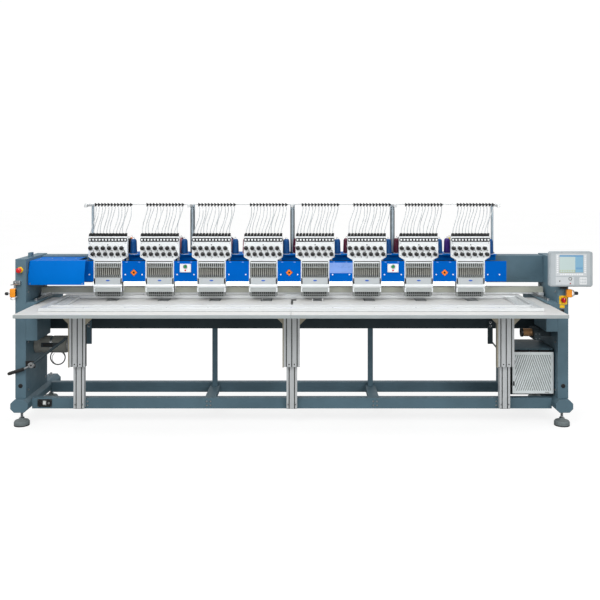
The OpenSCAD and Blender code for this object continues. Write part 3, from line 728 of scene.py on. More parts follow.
def eased(outline, r, steps=3):
    """The outline with each corner rounded over a length r."""
    pts = [np.array(p, float) for p in outline]
    out = []
    for i, p in enumerate(pts):
        a, b = pts[i - 1] - p, pts[(i + 1) % len(pts)] - p
        start = p + a * min(r / np.linalg.norm(a), 0.45)
        end = p + b * min(r / np.linalg.norm(b), 0.45)
        for k in range(steps + 1):
            t = k / steps
            out.append((1 - t) ** 2 * start + 2 * t * (1 - t) * p + t * t * end)
    return out


# ---- sewing heads


def case_shell():
    """The white case round its window, the tension box over it and the comb under it."""
    top = [(-CASE_HALF, WINDOW[1]), (CASE_HALF, WINDOW[1]), (CASE_HALF, CASE_NECK), (CASE_BOX_HALF, 1250),
           (CASE_BOX_HALF, CASE_TOP), (-CASE_BOX_HALF, CASE_TOP), (-CASE_BOX_HALF, 1250),
           (-CASE_HALF, CASE_NECK)]
    parts = [prism(eased(top, 3), 0, CASE_BOX_DEPTH, "y", "case_white", 2.5),
             block((-CASE_HALF, CASE_BOX_DEPTH - 4, WINDOW[1]), (CASE_HALF, CASE_DEPTH, CASE_NECK),
                   "case_white", 1.5)]
    for side in (-1, 1):
        x0, x1 = sorted((side * WINDOW_HALF, side * CASE_HALF))
        parts.append(block((x0, 0, 1080), (x1, CASE_DEPTH, WINDOW[1] + 2), "case_white", 1.5))
        parts.append(block((side * 103 - 7, 0, CASE_BOTTOM), (side * 103 + 7, CASE_DEPTH, WINDOW[0]),
                           "case_white", 1.5))
        parts.append(block((side * 103 - 1.5, -1.5, 1094), (side * 103 + 1.5, 1, 1210), "case_grey", 0.5))
    parts += [
        block((-WINDOW_HALF, 71, CASE_BOTTOM), (WINDOW_HALF, CASE_DEPTH, WINDOW[1] + 2), "case_grey", 1),
        # near-black sheet at the window's back: painted shade inside the case
        block((-WINDOW_HALF, 66, WINDOW[0]), (WINDOW_HALF, 71, WINDOW[1]), "shadow", 0.5),
        block((-CASE_HALF, 0, 1040), (CASE_HALF, 48, WINDOW[0]), "case_pale", 2),
        block((-CASE_HALF, 2, CASE_BOTTOM), (CASE_HALF, 48, 1042), "case_grey", 1.5),
        prism(eased([(-148, 1255), (148, 1255), (148, 1366), (-148, 1366)], 4), -2, 1, "y",
              "case_white", 0.8),
        block((-CASE_BOX_HALF + 1, 4, CASE_TOP), (CASE_BOX_HALF - 1, CASE_BOX_DEPTH - 4, CASE_TOP + 12),
              "case_white", 1.5),
    ]
    parts += [block((x - 3, -0.5, 984), (x + 3, 3, 1008), "case_grey", 0.8) for x in range(-99, 100, 9)]
    # comb that parts the threads
    half = CASE_HALF - 1
    comb = [(-half, CASE_BOTTOM + 2), (-half, COMB + 10), (10 - half, COMB),
            (half - 10, COMB), (half, COMB + 10), (half, CASE_BOTTOM + 2)]
    # near-black plate behind the teeth: painted shade in the gaps between them
    parts.append(prism(comb, 42, 48, "y", "shadow", 0.8))
    levels = [COMB, *COMB_ROWS[0], *COMB_ROWS[1], CASE_BOTTOM + 1]
    for low, high in zip(levels[::2], levels[1::2]):
        cut = 10 if low == COMB else 0
        parts.append(block((cut - half, 34, low), (half - cut, 43, high), "comb_grey", 0.5))
    for low, high in COMB_ROWS:
        edge = CASE_HALF - (5 if low < 950 else 1)
        for i in range(NEEDLES + 1):
            x = (i - NEEDLES / 2) * NEEDLE_PITCH
            x0, x1 = x - 2.2, x + 2.2
            if i in (0, NEEDLES):
                x0, x1 = sorted((math.copysign(87.8, x), math.copysign(edge, x)))
            parts.append(block((x0, 34, low - 0.5), (x1, 43, high + 0.5), "comb_grey", 0.5))
    return parts


def case_window():
    """Combs, ribs and guides that show in the window."""
    half = WINDOW_HALF - 1
    parts = [
        block((-half, 6, 1201), (half, 22, 1212), "case_white", 1),
        # dark grey strip under the window's top edge: painted shade in the gap there
        block((-half, 5, 1211), (half, 9, WINDOW[1]), "pit_grey", 0.5),
        block((-WINDOW_HALF, 50, 1160), (WINDOW_HALF, 71, 1168), "case_grey", 0.8),
        block((-WINDOW_HALF, 50, 1088), (WINDOW_HALF, 71, 1096), "case_grey", 0.8),
        block((-half, 3, 1169), (half, 7, 1174), "case_grey", 0.8),
        block((-half, 8, 1088), (half, 40, 1092), "case_grey", 0.8),
    ]
    for i in range(NEEDLES + 1):
        x = (i - NEEDLES / 2) * NEEDLE_PITCH
        parts.append(block((x - 3.8, 6, 1092), (x + 3.8, 36, 1112), "comb_grey", 0.8))
        parts.append(block((x - 4.4, 22, 1108), (x + 4.4, 46, 1172), "rib_grey", 1))
        parts.append(block((x - 2.6, 3, 1174), (x + 2.6, 14, 1202), "case_grey", 0.6))
    return parts


def case_trim():
    """Roll, mark, screws and the rails on the back."""
    mark = arc(0, 1069, 15, 0, 360, 12, 5.5 / 15)
    parts = [
        rod((-CASE_HALF, 8, 1026), (CASE_HALF, 8, 1026), 16, "roll_white", 40, 2),
        prism(mark, -1, 0.5, "y", "mark_blue", 0.3),
        screw(0, -2, 1345, 4.2, finish="black"),
        screw(0, -1.2, 1243, 2.6),
    ]
    for side in (-1, 1):
        parts += [screw(side * 139, -2, 1264, 3), screw(side * 139, -2, 1358, 3),
                  screw(side * 104, 0, 1074, 3)]
        end = (side * CASE_HALF * 0.98, 8, 1026)
        cap = [(0, 0), (6, 0), (6, 3), (3, 4.5), (0, 4.5)]
        parts.append(lathe(cap, end, "x" if side > 0 else "-x", "zinc", 20))
    for z in (1024, 1198):
        parts.append(block((-105, CASE_DEPTH - 1, z - 8), (105, 84.5, z + 8), "steel", 1))
    parts.append(block((120, CASE_BOX_DEPTH - 1, 1242), (136, 123, 1253), "case_grey", 1))
    parts.append(block((120, 101, 1176), (136, 123, 1243), "case_grey", 1))
    return parts


def needle_cases():
    case = joined(case_shell() + case_window() + case_trim())
    make("needle_case_shells", [spread(case, CASES)], "cases", "needle_cases")


def tension_knob():
    """A tension knob with a fluted grip, its hook and its eyelet."""
    bands = {"zinc": [(0, 0), (17.5, 0), (17.5, 1.4)], "chrome": [(6, 2.2), (16, 3.4), (17, 4.6)],
             "black": [(6, 6), (13, 6.5), (16.2, 8.5), (16.2, 17), (14, 20.5)],
             "black_gloss": [(9, 22), (8.5, 27), (7, 28), (0, 28)]}
    profile = [(r, h, finish) for finish, band in bands.items() for r, h in band]
    knob = lathe(profile, (0, 0, 0), "-y", "black", 36)
    turn = np.round(np.arctan2(knob.points[:, 0], knob.points[:, 2]) / math.radians(10)) % 2
    grip = (np.hypot(knob.points[:, 0], knob.points[:, 2]) > 13) & (knob.points[:, 1] < -7)
    knob.points[:, [0, 2]] *= np.where(grip & (turn > 0), 0.93, 1)[:, None]
    hook = tube(curve([(13, -3, -11), (20, -5, -17), (25, -4, -24), (21, -2, -27)], 4), 1.3, "black", 8)
    eyelet = lathe([(1.5, 0), (3.6, 0), (3.6, 3), (1.5, 3), (1.5, 0)], (-22, 0, 15), "-y",
                   "white_plastic", 14)
    return joined([knob, hook, eyelet])


def guide_fin():
    """Finger-shaped guide that a tube is pushed into, pointing left."""
    outline = [(-12.3, 1421), (-10.5, 1410), (-6, CASE_TOP + 12), (11.8, CASE_TOP + 12.5), (9.5, 1418),
               (12, 1431), (6, 1434.5), (-7, 1433)]
    return prism(eased(outline, 2), 5, 25, "y", "black", 1.2)


def tension_sets():
    knob, fin = tension_knob(), guide_fin()
    parts = [knob.at((i - 2.5) * 48 - 12 + row * 18, -1.5, 1320 - row * 46) for row in (0, 1)
             for i in range(6)]
    parts.append(pad((298, 29, 8), (0, 1383.5), -4.5, 0, "black", 1))
    parts.append(block((-150, 7, CASE_TOP + 12), (140, 23, CASE_TOP + 17), "black", 1))
    for x in GUIDE_X:
        parts.append(pad((14, 13.5, 4), (x, 1383.5), -7.4, -3, "case_white", 1.2))
        parts.append(fin.at(x))
        parts.append(lathe([(2, 0), (4.4, 0), (4.4, 14), (2, 14), (2, 0)], (x, 15, CASE_TOP + 12),
                           "z", "black", 16))
    make("tension_sets", [spread(joined(parts), CASES)], "cases", "tension_knobs")


def needle_set():
    """A needle bar with its clamp, needle and screw."""
    bar = rod((0, NEEDLE_Y, 998), (0, NEEDLE_Y, 1216), 3.2, "chrome", 16)
    clamp = lathe([(0, 986), (4, 986), (5, 988), (5, 998), (3.4, 1000), (0, 1000)], (0, NEEDLE_Y, 0), "z",
                  "steel_z", 16)
    pin = lathe([(0, 938), (0.35, 941), (1.1, 948), (1.1, 987), (0, 987)], (0, NEEDLE_Y, 0),
                "z", "chrome", 10)
    grub = rod((0, NEEDLE_Y - 7.5, 993), (0, NEEDLE_Y - 3, 993), 1.7, "zinc", 10)
    top = lathe([(0, 1204), (5, 1204), (5, 1214), (4, 1216), (0, 1216)], (0, NEEDLE_Y, 0), "z",
                "case_grey", 14)
    return joined([bar, clamp, pin, grub, top])


def presser_set():
    """A presser foot on its rod."""
    stem = rod((0, 68.4, 950), (0, 68.4, 1080), 2, "steel_z", 10)
    holder = block((-5.6, 63, 960), (5.6, 72.5, 976), "black", 1)
    rim = block((-5.9, 62.2, 969), (5.9, 63.4, 972), "bronze", 0.4)
    foot = lathe([(2.1, 945), (7, 945), (7, 947), (5.6, 948.4), (2.1, 948.4), (2.1, 945)], (0, NEEDLE_Y, 0),
                 "z", "bronze", 20)
    arm = block((-2.4, 65, 945.3), (2.4, 71, 962), "black", 0.7)
    collar = lathe([(1.9, 948), (4.6, 948), (4.6, 953), (3.6, 956), (1.9, 956), (1.9, 948)], (0, NEEDLE_Y, 0),
                   "z", "black", 16)
    return joined([stem, holder, rim, foot, arm, collar])


def needles():
    idle = [x for i, x in enumerate(NEEDLE_X) if i != ACTIVE]
    pair = joined([needle_set(), presser_set()])
    make("idle_needle_bars", [spread(spread(pair, idle), CASES)], "cases", "needle_bars")
    make("working_needle_bars", [spread(needle_set(), ARMS)], "needles", "active_needle_bars")
    make("working_presser_feet", [spread(presser_set(), ARMS)], "pressers", "presser_feet")


def head_frames():
    softened("head_arms", 1.6, "near_black")
    for node in ("take_up_levers", "active_take_ups"):
        recoat(node, "lever_dark")
    recoat("colour_change_rod", "chrome")
    recoat("main_shaft", "steel")
    recoat("motor_pulley", "steel")
    recoat("drive_belt", "rubber")
    for i in range(1, 9):
        recoat(f"rotary_hook_{i}", "steel_z")
    plate = []
    for x in ARMS:
        plate += [screw(x + dx, dy, TABLE_TOP + 0.4, 2.2, "z", height=0.9) for dx in (-24, 24)
                  for dy in (24, 88)]
    softened("bed_arms", 1.2, "slate", lambda f: "steel" if f.calc_center_median().z > 0.9075
             else None, plate)


# ---- covers


def cover_screw(x):
    return lathe([(0, 0), (5.4, 0), (5.4, 2.6), (4.4, 3.4), (1.6, 3.4), (1.6, 2, "zinc"), (0, 2, "zinc")],
                 (x, COVER_Y, 1115), "-y", "white_plastic", 18)


def diamond(x, z, half, y, finish):
    return prism([(x - half, z), (x, z - half), (x + half, z), (x, z + half)], y, y + 0.9, "y", finish, 0.2)


def cover_trim():
    parts = [cover_screw(MX + x) for x in (-1565, 1510, 1600)]
    for i in range(7):
        middle = (ARMS[i] + ARMS[i + 1]) / 2 + CASE_SHIFT
        parts += [cover_screw(middle + dx) for dx in (-65, 65)]
        parts += [pad((16, 5, 2.4), (middle + dx, 1211), COVER_Y - 0.5, COVER_Y + 0.5, "film_blue", 0.2)
                  for dx in (-55, 42)]
        if i in (0, 3, 6):
            parts += [diamond(middle, 1130, 29, COVER_Y - 0.6, "shadow"),
                      diamond(middle, 1130, 25.5, COVER_Y - 1.1, "label_orange")]
            parts.append(prism(moved_outline(ring_of(14, 8), middle, 1130), COVER_Y - 1.6, COVER_Y - 0.6, "y",
                               "shadow", 0.2))
        if i == 4:
            parts.append(block((middle - 88, COVER_Y - 0.6, 1126), (middle + 88, COVER_Y + 0.4, 1206),
                               "film_blue", 0.4))
        if i in (1, 5):
            y = COVER_Y - 14
            parts.append(lathe([(11.2, 0), (17, 0), (17, 2), (15, 3.2), (11.2, 3.2), (11.2, 0)],
                               (middle, y, 1178), "-y", "zinc", 32))
            parts.append(lathe([(0, 0), (6.5, 0), (6.5, 1.6), (5, 2.6), (0, 2.6)], (middle, y, 1149), "-y",
                               "signal_red", 20))
            parts += [screw(middle + dx, y, 1166 + dz, 2.2, height=0.9) for dx in (-36, 36)
                      for dz in (-26, 26)]
    return parts


def covers():
    def cover_rule(f):
        middle = f.calc_center_median()
        if middle.y < -0.0006:
            return "white_plastic"
        # side and back faces are dark navy: painted shade
        return "edge_blue" if abs(f.normal.x) > 0.8 or middle.y > 0.008 else None

    softened("front_covers", 0.8, "cover_blue", cover_rule, cover_trim())
    low, high = box_mm("drive_cover")
    seams = [screw(x, -137, 1064, 3.6) for x in (low[0] + 14, high[0] - 16)]
    seams += [screw(x, 60, high[2], 4, "z") for x in np.linspace(low[0] + 30, high[0] - 120, 4)]
    # drive cover in the lighter copy of the blue (painted light), its side faces dark navy (painted shade)
    softened("drive_cover", 1.2, "drive_blue", lambda f: "edge_blue" if abs(f.normal.x) > 0.8
             else None, seams)
    bars = []
    z0, z1 = (box_mm("led_strips")[k][2] for k in (0, 1))
    ends = [MX - 1563, *(x + dx for x in ARMS for dx in (-32, 32)), MX + 1520]
    profile = [(92, z0 + 3), (104, z0), (108, z0 + 4), (108, z1 - 4), (104, z1), (92, z1 - 3)]
    for a, b in zip(ends[::2], ends[1::2]):
        bars.append(prism(eased(profile, 2), a + 2, b - 2, "x", "led", 0.8))
        bars.append(block((a, 107, z0), (b, 112, z1), "alu_x", 0.8))
        for x in (a, b - 2.5):
            bars.append(block((x, 92, z0), (x + 2.5, 112, z1), "case_grey", 0.6))
    make("light_bars", bars, "frame", "led_strips")


# ---- thread stand

TRAY_TOP = box_mm("thread_tray")[1][2]
CONE_ROWS = [(117, (-87, -7, 73, 153)), (192, (-170, -80, 10, 100)), (283, (-137, -57, 23, 103))]
# colours by head for the cones whose x is named, seen from the front
THREADS = {153: ["blue"] * 8,
           -170: ("navy", "wine", "wine", "rose", "wine", "wine", "wine", "purple"),
           100: ("black", "rose", "rose", "navy", "wine", "navy", "black", "wine")}
OTHER_THREADS = ["navy", "rose", "black", "wine", "blue", "purple", "yellow", "orange", "navy", "black"]


def thread_cone(colour):
    """A cone of thread: wound from its foot to its shoulder, on a bare former."""
    wound = [(24, 4), (26.6, 9), (27, 14)] + [(27 - 0.036 * (z - 14), z) for z in range(24, 106, 10)]
    wound = [(r, z, "thread_" + colour) for r, z in wound + [(22, 108), (18, 117)]]
    former = [(10, 120), (8.6, 128), (6, 131.2), (5, 131.2), (5, 4), (6, 4)]
    return lathe([(6, 4), *wound, *former], (0, 0, 0), "z", "white_plastic", 28)


def thread_stand():
    # thread tray in the lighter copy of the blue: painted light
    softened("thread_tray", 1.2, "drive_blue")
    stand = [(0, 0), (29, 0), (30, 1), (30, 2.6), (29, 3.2), (8, 3.2), (7, 5, "zinc"), (4, 5, "zinc"),
             (4, 133, "zinc"), (2.6, 136, "zinc"), (0, 136)]
    pins, cones = [], []
    for h, arm in enumerate(ARMS):
        for y, xs in CONE_ROWS:
            for x in xs:
                pins.append(lathe(stand, (arm + x, y, TRAY_TOP), "z", "white_plastic", 24))
                drawn = None if x == 153 else rng.choice(OTHER_THREADS)    # drawn for x -170 and 100 too
                colour = THREADS[x][h] if x in THREADS else drawn
                cones.append(thread_cone(colour).at(arm + x, y, TRAY_TOP))
    make("spool_stands", pins, "frame", "spool_pins")
    make("wound_cones", cones, "frame", "thread_cones")
    rails = []
    low, high = box_mm("rail_frame")
    for x in (-1600, -800, 0, 800, 1600):
        x += MX
        w = 16 if abs(x - MX) > 1500 else 36
        outline = moved_outline(rounded(w, 36, w * 0.42), x, 242)
        rails.append(prism(outline, TRAY_TOP, high[2] - 10, "z", "post_grey", 1))
        foot = (x - w / 2 - 5, TRAY_RAIL[0], TRAY_TOP), (x + w / 2 + 5, TRAY_RAIL[1], TRAY_TOP + 7)
        rails.append(block(*foot, "black", 1.5))
        rails.append(block((x - 6, 22, high[2] - 26), (x + 6, 226, high[2] - 10), "alu_y", 1))
        rails.append(block((x - 11, 20, high[2] - 29), (x + 11, 44, high[2] - 8), "alu_x", 1.5))
        if w > 20:
            for side in (-1, 1):
                # dark strips down the post's front for its grooves: painted shade
                rails.append(block((x + side * 12.5 - 4, 223.4, TRAY_TOP + 7),
                                   (x + side * 12.5 + 4, 226, high[2] - 60), "groove", 0.3))
                rails += [screw(x + side * 10, 224.5, high[2] - dz, 4.5, finish="black") for dz in (36, 52)]
    rails.append(prism(moved_outline(rounded(20, 10, 3), 32, high[2] - 5), low[0], high[0], "x", "alu_x", 1))
    rails += [rod((x, 42, high[2] - 5), (x, 22, high[2] - 5), 1.4, "zinc", 8)
              for x in np.linspace(low[0] + 10, high[0] - 10, 9)]
    make("thread_rail", rails, "frame", "rail_frame")
    wedge = prism(eased([(-10, 1640), (12, 1654), (-10, 1668)], 1.5), 9, 21, "y", "black", 1)
    softened("thread_clips", 0.8, "black", None,
             [wedge.at(arm + CLIP_SHIFT + gx) for arm in ARMS for gx in GUIDE_X])


def thread_tubes():
    """Clear tubes from the clips on the rail to the guides on the cases."""
    low, high = box_mm("thread_tubes")
    lines = []
    for arm, case in zip(ARMS, CASES):
        for gx in GUIDE_X:
            a, b = np.array([arm + CLIP_SHIFT + gx, 15, high[2]]), np.array([case + gx, 15, low[2] - 4])
            sway = rng.uniform(-14, 16)
            bow = rng.uniform(-6, 3)
            pts = []
            for t in (0, 0.12, 0.36, 0.62, 0.86, 1):
                ease = (1 - math.cos(math.pi * t)) / 2
                p = a + (b - a) * np.array([ease, t, t])
                p[0] += sway * math.sin(math.pi * t) * math.sin(2.2 * t + 0.4)
                p[1] += bow * math.sin(math.pi * t)
                pts.append(p)
            lines.append(tube(curve(pts, 5), 3.2, "tube", 8))
    mesh = mesh_of("guide_tubes", lines)
    smooth_edges(mesh)
    obj = bpy.data.objects.new("guide_tubes", mesh)
    bpy.context.scene.collection.objects.link(obj)
    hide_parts("thread_tubes")
    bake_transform(obj)


# ---- steel frame


def steel_frame():
    for side, node in ((-1, "column_left"), (1, "column_right")):
        low, high = box_mm(node)
        inner = high[0] if side < 0 else low[0]
        extra = []
        for z in (260, 620, 1000):
            for y in (-120, 280):
                extra.append(hex_head(inner, y, z, 9, "x" if side < 0 else "-x", 6))
        extra.append(block((low[0] + 6, low[1] + 6, low[2]),
                           (high[0] - 6, high[1] - 6, low[2] + 4), "slate", 1))
        x = (low[0] + high[0]) / 2
        extra.append(lathe([(0, 0), (16, 0), (16, 3), (12, 4.5), (0, 4.5)], (x, low[1], 300),
                           "-y", "black", 24))
        softened(node, 3.2, "slate", None, extra)
    low, high = box_mm("floor_beams")
    caps = []
    for side in (-1, 1):
        x = MX + side * 2033
        for y in (-149, 550):
            caps.append(hex_head(x, y, high[2], 17, "z", 10))
            caps.append(lathe([(0, 0), (10, 0), (10, 20), (8, 22), (0, 22)], (x, y, high[2]),
                              "z", "zinc", 20))
    softened("floor_beams", 2.6, "slate", None, caps)
    low, high = box_mm("base_crossbars")
    ties = []
    for x in (MX - 1560, MX - 630, MX + 630, MX + 1560):
        ties += [hex_head(x + dx, -117, z, 7, "-y", 5) for dx in (-14, 14) for z in (140, 170)]
    softened("base_crossbars", 5, "slate", None, ties)
    softened("upper_beam", 4, "slate")
    screws = [screw(MX + x, 288, z, 11, finish="chrome") for x in (-1644, 1597) for z in (666, 694)]

    def beam_rule(f):
        middle = f.calc_center_median()
        return "slate" if middle.y < 0.2995 and middle.z < 0.712 and middle.x < 0 else None

    softened("bed_beam", 2.5, "near_black", beam_rule, screws)
    rails = []
    low, high = box_mm("side_boxes")
    for side in (-1, 1):
        for y in (-150, 120, 520):
            rails.append(screw(MX + side * 1992, y, 924, 4, "z", height=2))
            rails.append(screw(MX + side * 1920, y, 924, 4, "z", height=2))
    softened("side_boxes", 2.2, "slate", lambda f: "steel" if f.calc_center_median().z > 0.9242
             else None, rails)
    softened("pivot_brackets", 1.2, "black")


def levelling_feet():
    """Each foot turns on its own body, named by the letters of its place."""
    casting = [(56.5, 7), (57.5, 9), (57.5, 27), (55, 31), (50, 38), (30, 44), (22, 48), (20, 52)]
    profile = [(r, z, "rubber") for r, z in ((0, 0), (57, 0), (57.5, 6))]
    profile += [(r, z, "foot_grey") for r, z in casting] + [(20, 58), (15, 62)]
    z = 64
    while z < 112:    # the spindle's thread
        profile += [(10, z), (9, z + 1.2)]
        z += 2.4
    profile += [(10, 114), (10, 170), (0, 170)]
    for word in ("front_left", "front_right", "rear_left", "rear_right"):
        low, high = box_mm("foot_" + word)
        x, y = (low[0] + high[0]) / 2, (low[1] + high[1]) / 2
        body = "foot_" + word[0] + word.split("_")[1][0]
        make("levelling_foot_" + word, [lathe(profile, (x, y, 0), "z", "zinc", 48),
                                        hex_head(x, y, 98, 18, "z", 11)], body, "foot_" + word)


# ---- table and pantograph


def table():
    for side in ("left", "right"):
        softened("table_" + side, 1.4, "table_top", lambda f: "table_edge" if abs(f.normal.z) < 0.4 else None)
    softened("table_latch", 0.7, "black", None,
             [screw(MX, y, TABLE_TOP + 0.8, 3, "z", height=0.6) for y in (-180, 60)])

    def leg_rule(f):
        middle = f.calc_center_median()
        across = abs((middle.x / MM - MX + 800) % 1600 - 800)
        if across > 60.5:
            return "alu_warm"
        # the legs' side faces and the floors of their grooves are dark metal: painted shade
        if abs(f.normal.y) < 0.3 and abs(f.normal.z) < 0.3 and across > 58:
            return "groove"
        inset = min(abs(middle.y / MM - y) for y in GROOVE_FLOORS)
        return "groove" if abs(f.normal.y) > 0.9 and inset < 0.6 else None

    bolts, feet = [], []
    for x in (-1600, 0, 1600):
        for side in (-1, 1):
            bolts += [screw(MX + x + side * 82, -205, 868, 4), screw(MX + x + side * 72, -205, 856, 4)]
            bolts.append(screw(MX + x + side * 20, -207, 470, 4.5, finish="black"))
        bolts.append(prism(moved_outline(rounded(9, 40, 2), MX + x - 64.5, -187), 446, 880, "z",
                           "alu_warm", 0.6))
        feet.append(prism(moved_outline(rounded(80, 49, 3), MX + x, -141.5), 127, 131, "z", "black", 1))
        feet += [hex_head(MX + x + dx, -166, 160, 6, "-y", 4) for dx in (-28, 28)]
    softened("outer_legs", 0.8, "alu_z", leg_rule, bolts)
    softened("inner_legs", 0.8, "alu_z", leg_rule, feet)
    pads = [screw(x, 160, 1002, 5, "z", height=3) for x in np.linspace(MX - 1900, MX + 1900, 17)]
    softened("x_beam", 1.6, "beige", lambda f: "alu_x" if f.calc_center_median().z < 0.9592 else None, pads)
    clamps = []
    low, high = box_mm("border_frame")
    for x in np.linspace(low[0] + 20, high[0] - 20, 13):
        clamps.append(screw(x, low[1] + 20, 936, 4, "z", height=2))
        clamps.append(screw(x, 190, 936, 4, "z", height=2))
    for y in (low[1] + 13, low[1] + 27):
        clamps.append(block((low[0] + 42, y - 1, 935.5), (high[0] - 42, y + 1, 936.5), "alu_x", 0.3))
    softened("border_frame", 1.4, "alu_x", None, clamps)


# ---- cabinet, motors and controls


def clipped(outline, low, high):
    """The part of a convex outline inside a rectangle, or None."""
    for axis, limit, keep in ((0, low[0], 1), (0, high[0], -1), (1, low[1], 1), (1, high[1], -1)):
        out = []
        for i, p in enumerate(outline):
            q = outline[(i + 1) % len(outline)]
            a, b = keep * (p[axis] - limit), keep * (q[axis] - limit)
            if a >= 0:
                out.append(p)
            if a * b < 0:
                t = a / (a - b)
                out.append((p[0] + (q[0] - p[0]) * t, p[1] + (q[1] - p[1]) * t))
        outline = out
        if len(outline) < 3:
            return None
    return outline


def cabinet():
    low, high = box_mm("cabinet_door")
    x0, x1, z0, z1, y0 = low[0], high[0], low[2], high[2], low[1]
    cx, cz = (x0 + x1) / 2, (z0 + z1) / 2
    w, h, border = x1 - x0, z1 - z0, 22
    parts = [pad((w, h, 14), (cx, cz), y0 + 5, high[1], "filter_deep", 1)]
    for xa, za, xb, zb, ease in ((x0, z0, x1, z0 + border, 7), (x0, z1 - border, x1, z1, 7),
                                 (x0, z0 + border - 1, x0 + border, z1 - border + 1, 1),
                                 (x1 - border, z0 + border - 1, x1, z1 - border + 1, 1)):
        ring = eased([(xa, za), (xb, za), (xb, zb), (xa, zb)], ease)
        parts.append(prism(ring, y0, y0 + 9, "y", "filter_grey", 2))
    pitch, slat, lean = 17.0, 10.5, 0.36
    bottom, top = z0 + border, z1 - border
    for half in (-1, 1):
        a, b = sorted((cx, cx + half * (w / 2 - border)))
        for k in range(-8, 24):
            x = cx + half * (k * pitch - 40)
            foot, head = (x - half * (z - z0) * lean for z in (bottom, top))
            strip = [(foot, bottom), (foot + slat, bottom), (head + slat, top), (head, top)]
            piece = clipped(strip, (a, bottom), (b, top))
            if piece and max(p[0] for p in piece) - min(p[0] for p in piece) > 3:
                parts.append(prism(piece, y0 + 1.5, y0 + 6, "y", "filter_grey", 1.2))
    parts.append(block((x1 - 66, y0 - 0.6, z0 + 5), (x1 - 34, y0 + 1, z0 + 15), "case_grey", 0.5))
    parts += [block((x0 + 4, y0 - 1.5, z), (x0 + 16, y0 + 2, z + 34), "black", 1.5)
              for z in (z0 + 60, z1 - 94)]
    make("filter_door", parts, "door", "cabinet_door")
    low, high = box_mm("control_cabinet")
    left, bottom = low[0], 131

    def socket(x, finish):
        """A round power socket on its black plate."""
        return [pad((24, 30, 4), (x, bottom + 28), -129.5, -126, "black_gloss", 0.8),
                prism(moved_outline(ring_of(20, 8), x, bottom + 28), -130.5, -129, "y", finish, 0.4)]

    sockets = [*socket(left + 20, "shadow"),
               block((left + 40, -128.5, bottom + 14), (left + 66, -126, bottom + 46), "case_grey", 1),
               block((left + 44, -129.5, bottom + 20), (left + 62, -127.5, bottom + 40),
                     "white_plastic", 0.8),
               *socket(left + 86, "zinc")]
    sockets += [screw(left + dx, -127, bottom + dz, 2.6) for dx in (4, 103) for dz in (5, 51)]
    # near-black strips for the vent slots: painted shade
    vents = [block((MX + 1984.8, -60 + k * 22, 300), (MX + 1986.2, -50 + k * 22, 480), "shadow", 0.3)
             for k in range(14)]

    def cabinet_rule(f):
        middle = f.calc_center_median()
        return "black" if middle.z < 0.2 or (middle.z < 0.548 and middle.y < -0.065) else None

    softened("control_cabinet", 2, "slate", cabinet_rule, sockets + vents)


def motors():
    parts = []
    low = box_mm("drive_motors")[0][0]
    # main motor under the blue cover
    body = [(0, 0), (50, 0), (55, 4)]
    for fin in range(0, 90, 10):
        body += [(55, fin + 6), (51, fin + 8), (51, fin + 13), (55, fin + 15)]
    body += [(55, 100), (48, 107), (0, 107)]
    parts.append(lathe(body, (MX - 1975, 20, SHAFT_Z), "x", "cast", 40))
    parts.append(rod((MX - 1870, 20, SHAFT_Z), (MX - 1816, 20, SHAFT_Z), 7, "steel", 20))
    parts.append(block((low, -30, 1080), (MX - 1974, 190, 1190), "slate_dark", 2))
    # pantograph motor at the left
    drum = [(0, 0), (60, 0), (65, 5), (65, 40), (62, 42), (62, 60), (65.5, 62), (65.5, 120),
            (62, 122, "zinc"), (62, 140, "zinc"),
            (65.5, 142, "cast"), (65.5, 240), (62, 249), (48, 250, "zinc"), (47, 254, "zinc"), (0, 254)]
    parts.append(lathe(drum, (low, 60, 567), "x", "cast", 48))
    parts += [block((low + 60, -8, 556), (low + 190, 2, 590), "slate_dark", 2),
              block((low + 78, -12, 562), (low + 150, -6, 584), "black", 1.5)]
    loop, inner = arc(MX - 1826, 464, 57, -230, 71), arc(MX - 1822, 456, 50, -230, 71)
    parts.append(tube([(x, 60, z) for x, z in loop], 4.5, "black", 12))
    parts.append(tube([(x, 66, z) for x, z in inner], 2.2, "case_grey", 8))
    # pantograph motor at the right
    foot = (MX + 1772, 30, 664)
    coils = [(31 if k % 2 else 28.5, 10 + k * 4) for k in range(16)]
    windings = [(0, 0), (22, 0), (30, 5), *coils, (30, 78), (30, 86), (0, 86)]
    parts.append(lathe(windings, foot, "x", "copper", 40))
    parts.append(lathe([(0, 0), (34, 0), (34, 14), (28, 16), (0, 16)], foot, "x", "black", 36))
    housing = eased([(-40, 616), (110, 616), (110, 700), (-20, 700), (-40, 680)], 6)
    parts.append(prism(housing, MX + 1858, MX + 1908, "x", "near_black", 2))
    parts.append(block((MX + 1906, 0, 640), (MX + 1996, 100, 690), "near_black", 2))
    parts += [screw(MX + 1870 + dx, -40, z, 3.4) for dx in (0, 26) for z in (630, 664)]
    make("servo_motors", parts, "frame", "drive_motors")


